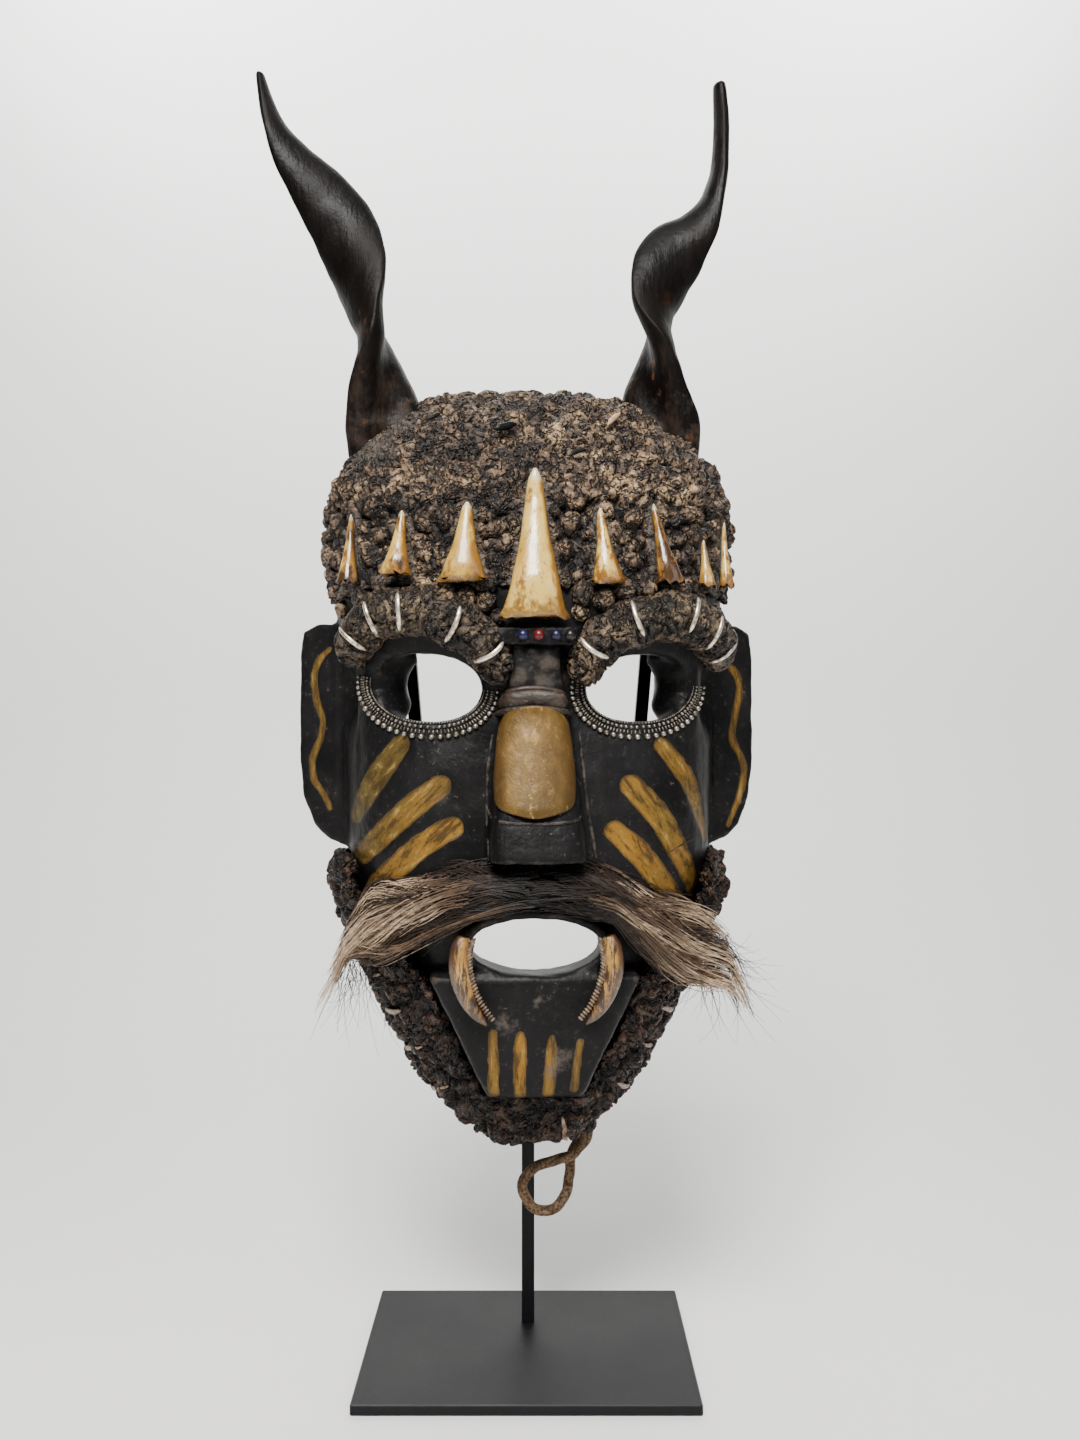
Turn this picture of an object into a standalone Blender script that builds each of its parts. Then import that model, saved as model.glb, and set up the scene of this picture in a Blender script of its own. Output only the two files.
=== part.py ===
"""A carved wooden dance mask with horns, teeth, tusks and a crusted crown, held up on a steel display stand."""

import math

import bmesh
import bpy
from mathutils import Vector

# Stand, in metres
PLATE_WIDTH = 0.150
PLATE_DEPTH = 0.1127
PLATE_THICKNESS = 0.005
PLATE_EDGE = 0.0006
ROD_SIDE = 0.006
ROD_BEHIND_CENTRE = 0.0227
FORK_BAR_ABOVE_CHIN = 0.025
FORK_WIDTH_AT_BAR = 0.084
FORK_WIDTH_AT_TIPS = 0.128
FORK_TIP_CLEARANCE = 0.0012
TIP_SEARCH_STEPS = 200

# Wooden mask. Heights on it are measured from its chin
MASK_SIDE_SHIFT = 0.0006
MASK_TURN_DEGREES = 3.0
CHIN_HEIGHT = 0.116
MASK_HEIGHT = 0.330
MASK_WIDTH = 0.191
MASK_DEPTH = 0.092
RIM_BEHIND_ROD = 0.0073
CHIN_RIM_SETBACK = 0.0165
WALL = 0.009
MASK_ROWS = 24
MASK_COLUMNS = 22
HOLLOW_ROWS = 10
HOLLOW_COLUMNS = 10

# Openings through the face
EYE_WIDTH = 0.048
EYE_HEIGHT = 0.031
EYE_SPACING = 0.0920
EYE_CENTRE_HEIGHT = 0.1940
EYE_TOP_SHARE = 0.88
EYE_LEAN_SHARE = 0.05
EYE_POWER = 0.9
EYE_POINTS = 18
MOUTH_WIDTH = 0.056
MOUTH_HEIGHT = 0.0235
MOUTH_CENTRE_HEIGHT = 0.0845
LIP_WIDTH = 0.0045
LIP_PROUD = 0.004

# Ears, nose and jaw, carved from the same block
EAR_HEIGHT = 0.104
EAR_CENTRE_HEIGHT = 0.1730
EAR_REACH = 0.107
EAR_THICKNESS = 0.008
EAR_FRONT = -0.006
EAR_SWEEP = 0.012
EAR_ROOT_SHARE = 0.84
NOSE_TOP_HEIGHT = 0.2110
NOSE_BASE_HEIGHT = 0.1208
NOSE_TOP_WIDTH = 0.021
NOSE_BASE_WIDTH = 0.040
NOSE_PROUD = 0.027
NOSE_STATIONS = 9
NOSE_SIDES = 9
NOSE_ROUNDING_SHARE = 0.22
ROOT_SHARE = 0.6
JAW_TOP_HEIGHT = 0.0730
JAW_BASE_HEIGHT = 0.0205
JAW_TOP_WIDTH = 0.090
JAW_BASE_WIDTH = 0.040
JAW_PROUD = 0.009
JAW_EDGE = 0.002

# Crusts of resin and hair
CRUST_THICKNESS = 0.0075
CRUST_THIN = 0.003
CRUST_LUMP = 0.0022
CRUST_LOWER_EDGE = 0.2340
CRUST_THICK_FROM = 0.2720
CRUST_RISE = 0.016
CRUST_ROWS = 9
CRUST_COLUMNS = 18
CRUST_REACH_DEGREES = 76
CRUST_FADE_DEGREES = 9
CRUST_EDGE_SHARE = 0.35
CRUST_SUNK = 0.002
BEARD_THICKNESS = 0.0130
BEARD_FRONT_THICKNESS = 0.0050
BEARD_DROP = 0.0120
BARE_CHEEK_ABOVE_JAW = (0.0180, 0.0530)
BARE_CHEEK_MARGIN = 0.0010
BEARD_BELOW_EAR = 0.0030
BEARD_LUMP = 0.0012
BEARD_ROWS = 12
BEARD_COLUMNS = 18
BEARD_ROW_POWER = 1.15
BEARD_KEEL_SHARE = 0.94
BEARD_TOP_NARROW_SHARE = 0.45
BEARD_NARROW_FROM_SHARE = 0.85
BROW_RADIUS = 0.0064
BROW_PROUD_SHARE = 0.72
BROW_BAND_RADIUS = 0.0009
BROW_BAND_REACH_DEGREES = 72
BROW_BAND_STATIONS = 5
BROW_STATIONS = 12

# Horns, teeth and tusks
HORN_WIDTH = 0.036
HORN_THICKNESS = 0.017
HORN_RINGS = 23
HORN_SIDES = 8
HORN_RING_POWER = 1.15
TUSK_RADIUS = 0.0055
TUSK_STATIONS = 9
TUSK_SIDES = 8
TUSK_FLAT_SHARE = 0.75
TOOTH_BACK_GAP = 0.0006
TOOTH_STATIONS = 6
TOOTH_FACING = 0.030
TOOTH_TURN_FROM = 0.060

# Small trim and hair
BEAD_RADIUS = 0.0016
LID_REACH_DEGREES = 176
LID_BEADS = 12
NOSE_BEAD_RADIUS = 0.0023
NOSE_STRIP_THICKNESS = 0.0024
NOSE_PLATE_WIDTH = 0.034
NOSE_PLATE_HEIGHT = 0.043
NOSE_PLATE_TOP = 0.1834
NOSE_PLATE_THICKNESS = 0.0012
NOSE_PLATE_STATIONS = 7
MOUSTACHE_THICKNESS = 0.011
CORD_RADIUS = 0.0025
CORD_POINTS = 22

# Fits
GAP = 0.0003
SURFACE_GAP = 0.0007
SOCKET_GAP = 0.0010
FAR = 0.2

RIM_Y = ROD_BEHIND_CENTRE + RIM_BEHIND_ROD

# Share of the mask's height, then half width, depth in front of the rim, and squareness of the section
MASK_PROFILE = (
    (0.000, 0.210, 0.760, 2.4),
    (0.043, 0.366, 0.848, 2.4),
    (0.142, 0.565, 0.935, 2.5),
    (0.250, 0.743, 0.978, 2.7),
    (0.370, 0.880, 0.978, 3.3),
    (0.535, 0.890, 0.946, 3.6),
    (0.675, 0.932, 1.000, 3.1),
    (0.780, 1.000, 0.967, 2.6),
    (0.834, 0.974, 0.902, 2.5),
    (0.892, 0.880, 0.761, 2.4),
    (0.926, 0.796, 0.641, 2.3),
    (0.955, 0.702, 0.511, 2.2),
    (0.985, 0.565, 0.315, 2.2),
    (1.000, 0.377, 0.065, 2.2),
)
# Share of the mask's height, then how much of the chin's setback the rim has there
RIM_PROFILE = ((0.0, 1.0), (0.142, 0.94), (0.25, 0.67), (0.37, 0.12), (0.46, 0.0), (1.0, 0.0))
# Relief on the face: side, share of the height, half width, half height, how proud
RELIEF = (
    (0.0465, 0.594, 0.030, 0.020, -0.0045),
    (0.0400, 0.690, 0.036, 0.010, 0.0030),
    (0.0500, 0.450, 0.030, 0.026, 0.0020),
    (0.0000, 0.285, 0.040, 0.022, 0.0030),
)


def smooth_value(keys, place, column=1):
    """The value at a place along sorted keys, on a smooth curve through them."""
    last = len(keys) - 1
    i = max(0, min(last - 1, sum(key[0] <= place for key in keys) - 1))
    x0, x1 = keys[i][0], keys[i + 1][0]
    y0, y1 = keys[i][column], keys[i + 1][column]
    step = (y1 - y0) / (x1 - x0)

    def slope(k):
        if k in (0, last):
            return step
        before = (keys[k][column] - keys[k - 1][column]) / (keys[k][0] - keys[k - 1][0])
        after = (keys[k + 1][column] - keys[k][column]) / (keys[k + 1][0] - keys[k][0])
        if before * after <= 0:
            return 0.0
        return 2 * before * after / (before + after)

    t = max(0.0, min(1.0, (place - x0) / (x1 - x0)))
    width = x1 - x0
    return (
        y0 * (1 + 2 * t) * (1 - t) ** 2
        + slope(i) * width * t * (1 - t) ** 2
        + y1 * t * t * (3 - 2 * t)
        + slope(i + 1) * width * t * t * (t - 1)
    )


def signed_power(value, power):
    return math.copysign(abs(value) ** power, value)


def share_of(height):
    return max(0.0, min(1.0, height / MASK_HEIGHT))


def rim_y(share):
    return RIM_Y - CHIN_RIM_SETBACK * smooth_value(RIM_PROFILE, share)


def section(share, inset=0.0):
    """Half width, front, rim and squareness of the mask's D-shaped section at a share of its height."""
    half = MASK_WIDTH / 2 * smooth_value(MASK_PROFILE, share, 1) - inset
    front = RIM_Y - MASK_DEPTH * smooth_value(MASK_PROFILE, share, 2) + inset
    return half, front, rim_y(share), smooth_value(MASK_PROFILE, share, 3)


def relief(x, height):
    proud = 0.0
    for side, share, half_width, half_height, amount in RELIEF:
        across = (abs(x) - side) / half_width
        along = (height - share * MASK_HEIGHT) / half_height
        proud += amount * math.exp(-across * across - along * along)
    return proud


def face_y(x, height):
    """The front surface of the wood at a side and a height."""
    half, front, rim, square = section(share_of(height))
    across = min(1.0, abs(x) / half)
    return rim - (rim - front) * (1 - across**square) ** (1 / square) - relief(x, height)


def skin_point(turn, share, proud=0.0):
    """A point of the outer surface, from minus 90 degrees at one rim to 90 at the other."""
    half, front, rim, square = section(share)
    height = share * MASK_HEIGHT
    x = half * signed_power(math.sin(turn), 2 / square)
    deep = max(0.0, math.cos(turn)) ** (2 / square)
    point = Vector((x, rim - (rim - front) * deep - relief(x, height) * min(1.0, 3 * deep), height))
    if proud:
        point += skin_normal(turn, share) * proud
    return point


def skin_normal(turn, share):
    """The way out of the surface there."""
    step = 0.004
    low, high = max(0.0, share - step), min(1.0, share + step)
    left, right = max(-math.pi / 2, turn - 0.03), min(math.pi / 2, turn + 0.03)
    across = skin_point(right, share) - skin_point(left, share)
    along = skin_point(turn, high) - skin_point(turn, low)
    return across.cross(along).normalized()


def profile_shares(count, low=0.0, high=1.0):
    """Shares of the height at equal steps along the mask's own front profile."""
    fine = 400
    places = [low + (high - low) * i / fine for i in range(fine + 1)]
    points = [Vector((section(s)[1], s * MASK_HEIGHT)) for s in places]
    run = [0.0]
    for a, b in zip(points, points[1:]):
        run.append(run[-1] + (b - a).length)
    shares = []
    for row in range(count + 1):
        wanted = run[-1] * row / count
        i = min(fine - 1, sum(length < wanted for length in run[1:]))
        part = (wanted - run[i]) / max(run[i + 1] - run[i], 1e-9)
        shares.append(places[i] + (places[i + 1] - places[i]) * part)
    return shares


def way_across(count, reach=90.0):
    return [math.radians(-reach + 2 * reach * i / count) for i in range(count + 1)]


def finish(mesh_name, bm, material, parent=None, smooth_angle=40):
    """A named object from a closed bmesh, facing out and shaded smooth between its sharp edges."""
    bmesh.ops.recalc_face_normals(bm, faces=bm.faces)
    mesh = bpy.data.meshes.new(mesh_name)
    bm.to_mesh(mesh)
    bm.free()
    mesh.shade_smooth()
    mesh.set_sharp_from_angle(angle=math.radians(smooth_angle))
    obj = bpy.data.objects.new(mesh_name, mesh)
    bpy.context.scene.collection.objects.link(obj)
    if material:
        mesh.materials.append(material)
    if parent:
        obj.parent = parent
    return obj


def loft(name, rings, material, parent=None, smooth_angle=40):
    """A closed solid through rings of equal count, flat at both ends."""
    bm = bmesh.new()
    rows = [[bm.verts.new(point) for point in ring] for ring in rings]
    count = len(rows[0])
    for low, high in zip(rows, rows[1:]):
        for i in range(count):
            j = (i + 1) % count
            bm.faces.new((low[i], low[j], high[j], high[i]))
    walls = list(bm.faces)
    bm.faces.new(reversed(rows[0]))
    bm.faces.new(rows[-1])
    bmesh.ops.triangulate(bm, faces=walls, quad_method="FIXED")
    return finish(name, bm, material, parent, smooth_angle)


def smooth_route(points, count):
    """Points at equal steps along a smooth curve through a route's own points."""
    points = [Vector(point) for point in points]
    fine = []
    for i in range(len(points) - 1):
        a = points[max(0, i - 1)]
        b, c = points[i], points[i + 1]
        d = points[min(len(points) - 1, i + 2)]
        for k in range(16):
            t = k / 16
            fine.append(
                0.5 * (2 * b + (c - a) * t + (2 * a - 5 * b + 4 * c - d) * t * t + (3 * b - a - 3 * c + d) * t**3)
            )
    fine.append(points[-1])
    run = [0.0]
    for a, b in zip(fine, fine[1:]):
        run.append(run[-1] + (b - a).length)
    placed = []
    for k in range(count):
        wanted = run[-1] * k / (count - 1)
        i = min(len(fine) - 2, sum(length < wanted for length in run[1:]))
        part = (wanted - run[i]) / max(run[i + 1] - run[i], 1e-9)
        placed.append(fine[i].lerp(fine[i + 1], part))
    return placed


def rings_along(route, radii, sides, up):
    """Elliptical rings round a route; radii gives (across, along up) for each place."""
    rings = []
    for i, centre in enumerate(route):
        ahead = (route[min(i + 1, len(route) - 1)] - route[max(i - 1, 0)]).normalized()
        side = ahead.cross(up).normalized()
        top = side.cross(ahead).normalized()
        across, high = radii(i / (len(route) - 1))
        rings.append(
            [
                centre
                + side * across * math.cos(math.tau * k / sides)
                + top * high * math.sin(math.tau * k / sides)
                for k in range(sides)
            ]
        )
    return rings


def cut(obj, cutter, operation="DIFFERENCE"):
    """One Boolean by a helper that is left out of renders."""
    cutter.hide_render = True
    cutter.display_type = "WIRE"
    modifier = obj.modifiers.new(cutter.name, "BOOLEAN")
    modifier.operation = operation
    modifier.solver = "EXACT"
    modifier.object = cutter


def new_material(name, colour, roughness, metallic=0.0):
    made = bpy.data.materials.new(name)
    made.use_nodes = True
    shader = made.node_tree.nodes["Principled BSDF"]
    shader.inputs["Base Color"].default_value = (*colour, 1.0)
    shader.inputs["Roughness"].default_value = roughness
    shader.inputs["Metallic"].default_value = metallic
    made.diffuse_color = (*colour, 1.0)
    return made


def make_materials():
    return {
        "steel": new_material("black_steel", (0.030, 0.031, 0.034), 0.45, 0.6),
        "wood": new_material("dark_wood", (0.022, 0.018, 0.015), 0.5),
        "horn": new_material("horn", (0.020, 0.014, 0.011), 0.32),
        "crust": new_material("hair_crust", (0.110, 0.080, 0.058), 0.85),
        "ivory": new_material("ivory", (0.700, 0.480, 0.210), 0.4),
        "silver": new_material("silver_wire", (0.720, 0.710, 0.680), 0.35, 1.0),
        "gold": new_material("gold_plate", (0.420, 0.260, 0.075), 0.45, 0.5),
        "hair": new_material("goat_hair", (0.170, 0.115, 0.075), 0.8),
        "cord": new_material("plant_cord", (0.210, 0.140, 0.085), 0.9),
        "blue": new_material("blue_bead", (0.030, 0.040, 0.250), 0.15),
        "red": new_material("red_bead", (0.350, 0.030, 0.015), 0.15),
        "dark": new_material("dark_bead", (0.020, 0.015, 0.030), 0.15),
    }


def box(name, low, high, finish_material, parent=None):
    bm = bmesh.new()
    bmesh.ops.create_cube(bm, size=1.0)
    size = Vector(high) - Vector(low)
    bmesh.ops.scale(bm, vec=size, verts=bm.verts)
    bmesh.ops.translate(bm, vec=Vector(low) + size / 2, verts=bm.verts)
    return finish(name, bm, finish_material, parent)


def bar(name, start, end, side, finish_material):
    """A square bar whose ends are level."""
    start, end = Vector(start), Vector(end)
    half = side / 2
    rings = [
        [point + Vector((sx * half, sy * half, 0)) for sx, sy in ((-1, -1), (1, -1), (1, 1), (-1, 1))]
        for point in (start, end)
    ]
    return loft(name, rings, finish_material)


def hollow_section(share):
    """Half width, depth, height and squareness of the hollow behind the face."""
    half, front, rim, square = section(share, WALL)
    height = WALL + share * (MASK_HEIGHT - 2 * WALL)
    return half, max(rim - front, 0.001), height, square


def fork_tip_height():
    """Where the splayed prongs meet the hollow's ceiling."""
    half_side = ROD_SIDE / 2
    for k in range(TIP_SEARCH_STEPS):
        share = 1 - k / TIP_SEARCH_STEPS
        half, deep, height, square = hollow_section(share)
        forward = (rim_y(share) - ROD_BEHIND_CENTRE + half_side) / deep
        if forward >= 1:
            continue
        inside = half * (1 - forward**square) ** (1 / square)
        if inside > FORK_WIDTH_AT_TIPS / 2 + half_side + FORK_TIP_CLEARANCE:
            return CHIN_HEIGHT + height - FORK_TIP_CLEARANCE
    return CHIN_HEIGHT + MASK_HEIGHT / 2


def make_stand(materials):
    plate = box(
        "base_plate",
        (-PLATE_WIDTH / 2, -PLATE_DEPTH / 2, 0),
        (PLATE_WIDTH / 2, PLATE_DEPTH / 2, PLATE_THICKNESS),
        materials["steel"],
    )
    edge = plate.modifiers.new("worn edges", "BEVEL")
    edge.width = PLATE_EDGE
    edge.segments = 1
    y = ROD_BEHIND_CENTRE
    half = ROD_SIDE / 2
    reach = FORK_WIDTH_AT_BAR / 2
    bar_height = CHIN_HEIGHT + FORK_BAR_ABOVE_CHIN
    post = box(
        "stand_post",
        (-half, y - half, PLATE_THICKNESS + GAP),
        (half, y + half, bar_height + half / 2),
        materials["steel"],
    )
    cross = box(
        "fork_bar",
        (-reach - half, y - half, bar_height - half),
        (reach + half, y + half, bar_height + half),
        None,
    )
    cut(post, cross, "UNION")
    for side, word in ((-1, "left"), (1, "right")):
        prong = bar(
            f"fork_prong_{word}",
            (side * reach, y, bar_height),
            (side * FORK_WIDTH_AT_TIPS / 2, y, fork_tip_height()),
            ROD_SIDE,
            None,
        )
        cut(post, prong, "UNION")


def mask_block(name, rows, columns, finish_material, parent, proud=0.0):
    """The mask's outer form, solid up to its rim."""
    rings = []
    for share in profile_shares(rows):
        ring = [skin_point(turn, share, proud) for turn in way_across(columns)]
        if proud:
            for point in (ring[0], ring[-1]):
                point.y = max(point.y, rim_y(share) + proud)
        rings.append(ring)
    return loft(name, rings, finish_material, parent)


def hollow_block(parent):
    """The space behind the face, open at the rim."""
    rings = []
    for row in range(HOLLOW_ROWS + 1):
        share = 0.5 - 0.5 * math.cos(math.pi * row / HOLLOW_ROWS)
        half, deep, height, square = hollow_section(share)
        rim = rim_y(share)
        ring = [Vector((-half, RIM_Y + WALL, height))]
        for turn in way_across(HOLLOW_COLUMNS):
            x = half * signed_power(math.sin(turn), 2 / square)
            ring.append(Vector((x, rim - deep * max(0.0, math.cos(turn)) ** (2 / square), height)))
        ring.append(Vector((half, RIM_Y + WALL, height)))
        rings.append(ring)
    return loft("hollow", rings, None, parent)


def through_cutter(name, outline, parent, front, back):
    """A prism along the depth, from an outline of sides and heights."""
    rings = [[Vector((x, y, z)) for x, z in outline] for y in (front, back)]
    return loft(name, rings, None, parent)


def eye_outline(side):
    """A half moon: a low flat arch over a deep round lower lid."""
    outline = []
    for k in range(EYE_POINTS):
        turn = math.tau * k / EYE_POINTS
        x = EYE_WIDTH / 2 * signed_power(math.cos(turn), EYE_POWER)
        rise = EYE_HEIGHT / 2 * math.sin(turn)
        z = rise * (1.0 if rise < 0 else EYE_TOP_SHARE)
        lean = EYE_LEAN_SHARE * x * side
        outline.append((side * EYE_SPACING / 2 + x, EYE_CENTRE_HEIGHT + z + lean))
    return outline


def ellipse(width, height, centre, count):
    return [
        (width / 2 * math.cos(math.tau * k / count), centre + height / 2 * math.sin(math.tau * k / count))
        for k in range(count)
    ]


def nose_size(share):
    """Half width and how far proud of the face the nose is, from its base to its top."""
    half = (NOSE_BASE_WIDTH + (NOSE_TOP_WIDTH - NOSE_BASE_WIDTH) * min(1.0, share * 1.15) ** 1.3) / 2
    proud = NOSE_PROUD * (1 - 0.72 * share**1.2)
    return half, proud


def nose_rounding(deep, turn):
    """How far the nose's front falls back towards its sides."""
    return deep * NOSE_ROUNDING_SHARE * (1 - max(0.0, math.cos(turn)) ** 0.8)


def nose_front(height):
    share = (height - NOSE_BASE_HEIGHT) / (NOSE_TOP_HEIGHT - NOSE_BASE_HEIGHT)
    half, proud = nose_size(max(0.0, min(1.0, share)))
    return half, face_y(0.0, height) - proud


def nose_block(name, parent, grow=0.0):
    """The nose, rooted in the face; grow gives it the clearance that its neighbours keep."""
    rings = []
    for k in range(NOSE_STATIONS):
        height = NOSE_BASE_HEIGHT + (NOSE_TOP_HEIGHT - NOSE_BASE_HEIGHT) * k / (NOSE_STATIONS - 1)
        half, front = nose_front(height)
        back = face_y(half, height) + WALL * ROOT_SHARE
        half, front = half + grow, front - grow
        ring = [Vector((-half, back, height))]
        for i in range(NOSE_SIDES):
            turn = math.radians(-90 + 180 * i / (NOSE_SIDES - 1))
            x = half * signed_power(math.sin(turn), 0.5)
            ring.append(Vector((x, front + nose_rounding(back - front, turn), height)))
        ring.append(Vector((half, back, height)))
        rings.append(ring)
    if grow:
        for point in rings[-1]:
            point.z += grow
    return loft(name, rings, None, parent)


def jaw_front(height):
    share = (height - JAW_BASE_HEIGHT) / (JAW_TOP_HEIGHT - JAW_BASE_HEIGHT)
    return face_y(0.0, JAW_TOP_HEIGHT) - JAW_PROUD + 0.004 * (1 - share)


def make_jaw(parent):
    rings = []
    back = face_y(JAW_TOP_WIDTH / 2, JAW_TOP_HEIGHT) + WALL * ROOT_SHARE
    for height, width, inset in (
        (JAW_BASE_HEIGHT, JAW_BASE_WIDTH, JAW_EDGE),
        (JAW_BASE_HEIGHT + JAW_EDGE, JAW_BASE_WIDTH + JAW_EDGE, 0.0),
        (JAW_TOP_HEIGHT - JAW_EDGE, JAW_TOP_WIDTH - JAW_EDGE, 0.0),
        (JAW_TOP_HEIGHT, JAW_TOP_WIDTH, JAW_EDGE),
    ):
        front = jaw_front(height)
        half = width / 2
        rings.append(
            [
                Vector((-half, back, height)),
                Vector((-half, front + JAW_EDGE * 2 + inset, height)),
                Vector((-half + JAW_EDGE, front + JAW_EDGE + inset, height)),
                Vector((0.0, front + inset, height)),
                Vector((half - JAW_EDGE, front + JAW_EDGE + inset, height)),
                Vector((half, front + JAW_EDGE * 2 + inset, height)),
                Vector((half, back, height)),
            ]
        )
    return loft("jaw", rings, None, parent)


def ear_front(x):
    """The ear's front plane, swept back towards its edge."""
    start = MASK_WIDTH / 2 * EAR_ROOT_SHARE
    return EAR_FRONT + EAR_SWEEP * max(0.0, (abs(x) - start) / (EAR_REACH - start))


# The ear's outline: share of its way out from the wood it is rooted in, and share of its half height
EAR_OUTLINE = (
    (0.00, 0.96),
    (0.66, 1.00),
    (0.93, 0.93),
    (1.00, 0.72),
    (1.00, -0.25),
    (0.93, -0.56),
    (0.74, -0.80),
    (0.51, -0.92),
    (0.07, -1.00),
    (0.00, -0.70),
)


def make_ear(side, word, parent):
    """A flat flap with a long straight edge and a lower corner that runs in to the cheek."""
    inner = MASK_WIDTH / 2 * EAR_ROOT_SHARE
    outline = [(inner + (EAR_REACH - inner) * out, EAR_HEIGHT / 2 * up) for out, up in EAR_OUTLINE]
    rings = []
    for thickness in (0.0, EAR_THICKNESS):
        rings.append(
            [
                Vector((side * x, ear_front(x) + thickness, EAR_CENTRE_HEIGHT + z))
                for x, z in (outline if side > 0 else reversed(outline))
            ]
        )
    return loft(f"ear_{word}", rings, None, parent)


def make_mask(materials, parent):
    mask = mask_block("mask_body", MASK_ROWS, MASK_COLUMNS, materials["wood"], parent)
    for side, word in ((-1, "left"), (1, "right")):
        cut(mask, make_ear(side, word, parent), "UNION")
    cut(mask, nose_block("nose", parent), "UNION")
    cut(mask, make_jaw(parent), "UNION")
    lip_front = face_y(0.0, MOUTH_CENTRE_HEIGHT) - LIP_PROUD
    lip = through_cutter(
        "lip",
        ellipse(MOUTH_WIDTH + 2 * LIP_WIDTH, MOUTH_HEIGHT + 2 * LIP_WIDTH, MOUTH_CENTRE_HEIGHT, 20),
        parent,
        lip_front,
        lip_front + LIP_PROUD + WALL,
    )
    cut(mask, lip, "UNION")
    cut(mask, hollow_block(parent))
    for side, word in ((-1, "left"), (1, "right")):
        outline = eye_outline(side)
        cut(mask, through_cutter(f"eye_hole_{word}", outline, parent, -FAR, 0.0))
    mouth = ellipse(MOUTH_WIDTH, MOUTH_HEIGHT, MOUTH_CENTRE_HEIGHT, 20)
    cut(mask, through_cutter("mouth_hole", mouth, parent, -FAR, 0.0))


def crust_proud(share, turn):
    """How thick the crown's crust is, thin behind the row of teeth and fading out at its edges."""
    height = share * MASK_HEIGHT
    rise = max(0.0, min(1.0, (height - CRUST_THICK_FROM) / CRUST_RISE + 0.75))
    thick = CRUST_THIN + (CRUST_THICKNESS - CRUST_THIN) * rise
    edge = max(0.0, min(1.0, (CRUST_REACH_DEGREES - math.degrees(abs(turn))) / CRUST_FADE_DEGREES))
    return thick * (CRUST_EDGE_SHARE + (1 - CRUST_EDGE_SHARE) * edge), rise * edge


def crust_block(name, finish_material, parent, grow=0.0):
    """The crust's outer form, sunk a little into the wood."""
    shares = profile_shares(CRUST_ROWS, share_of(CRUST_LOWER_EDGE), 1.0)
    turns = way_across(CRUST_COLUMNS, CRUST_REACH_DEGREES)
    rings = []
    for row, share in enumerate(shares):
        outer, inner = [], []
        for column, turn in enumerate(turns):
            thick, lumpy = crust_proud(share, turn)
            lump = CRUST_LUMP * lumpy * (0.5 if (row + column) % 2 else -0.5)
            outer.append(skin_point(turn, share, thick + lump + grow))
            inner.append(skin_point(turn, share, -CRUST_SUNK))
        rings.append(outer + inner[::-1])
    return loft(name, rings, finish_material, parent, 70)


def make_crown_crust(materials, parent, skin_cutter, horn_sockets):
    crust = crust_block("crown_crust", materials["crust"], parent)
    cut(crust, skin_cutter)
    for socket in horn_sockets:
        cut(crust, socket)


# Place up the horn, its side, its depth, and its half width and half thickness as shares, and its turn
LEFT_HORN = (
    (0.2960, -0.0640, 0.0080, 1.06, 1.25, -14),
    (0.3160, -0.0670, 0.0065, 1.04, 1.20, 8),
    (0.3350, -0.0690, 0.0055, 0.98, 1.10, 34),
    (0.3560, -0.0712, 0.0050, 0.92, 1.00, 82),
    (0.3740, -0.0765, 0.0050, 0.90, 0.92, 118),
    (0.3920, -0.0800, 0.0050, 0.88, 0.86, 150),
    (0.4120, -0.0875, 0.0060, 0.86, 0.80, 178),
    (0.4300, -0.0995, 0.0070, 0.76, 0.72, 192),
    (0.4460, -0.1115, 0.0080, 0.60, 0.62, 212),
    (0.4640, -0.1212, 0.0090, 0.40, 0.48, 248),
    (0.4770, -0.1250, 0.0095, 0.24, 0.34, 264),
    (0.4850, -0.1270, 0.0100, 0.10, 0.14, 270),
)
RIGHT_HORN = (
    (0.2960, 0.0600, 0.0080, 1.06, 1.25, 14),
    (0.3160, 0.0632, 0.0065, 1.04, 1.20, -8),
    (0.3350, 0.0600, 0.0055, 0.96, 1.10, -36),
    (0.3560, 0.0605, 0.0050, 0.90, 0.98, -82),
    (0.3740, 0.0595, 0.0050, 0.90, 0.90, -128),
    (0.3900, 0.0628, 0.0050, 0.88, 0.84, -160),
    (0.4040, 0.0706, 0.0060, 0.84, 0.78, -186),
    (0.4160, 0.0810, 0.0070, 0.66, 0.66, -214),
    (0.4290, 0.0880, 0.0080, 0.48, 0.56, -242),
    (0.4460, 0.0922, 0.0090, 0.40, 0.52, -262),
    (0.4660, 0.0932, 0.0095, 0.34, 0.50, -270),
    (0.4800, 0.0925, 0.0100, 0.26, 0.40, -270),
    (0.4860, 0.0924, 0.0100, 0.10, 0.18, -270),
)


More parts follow.
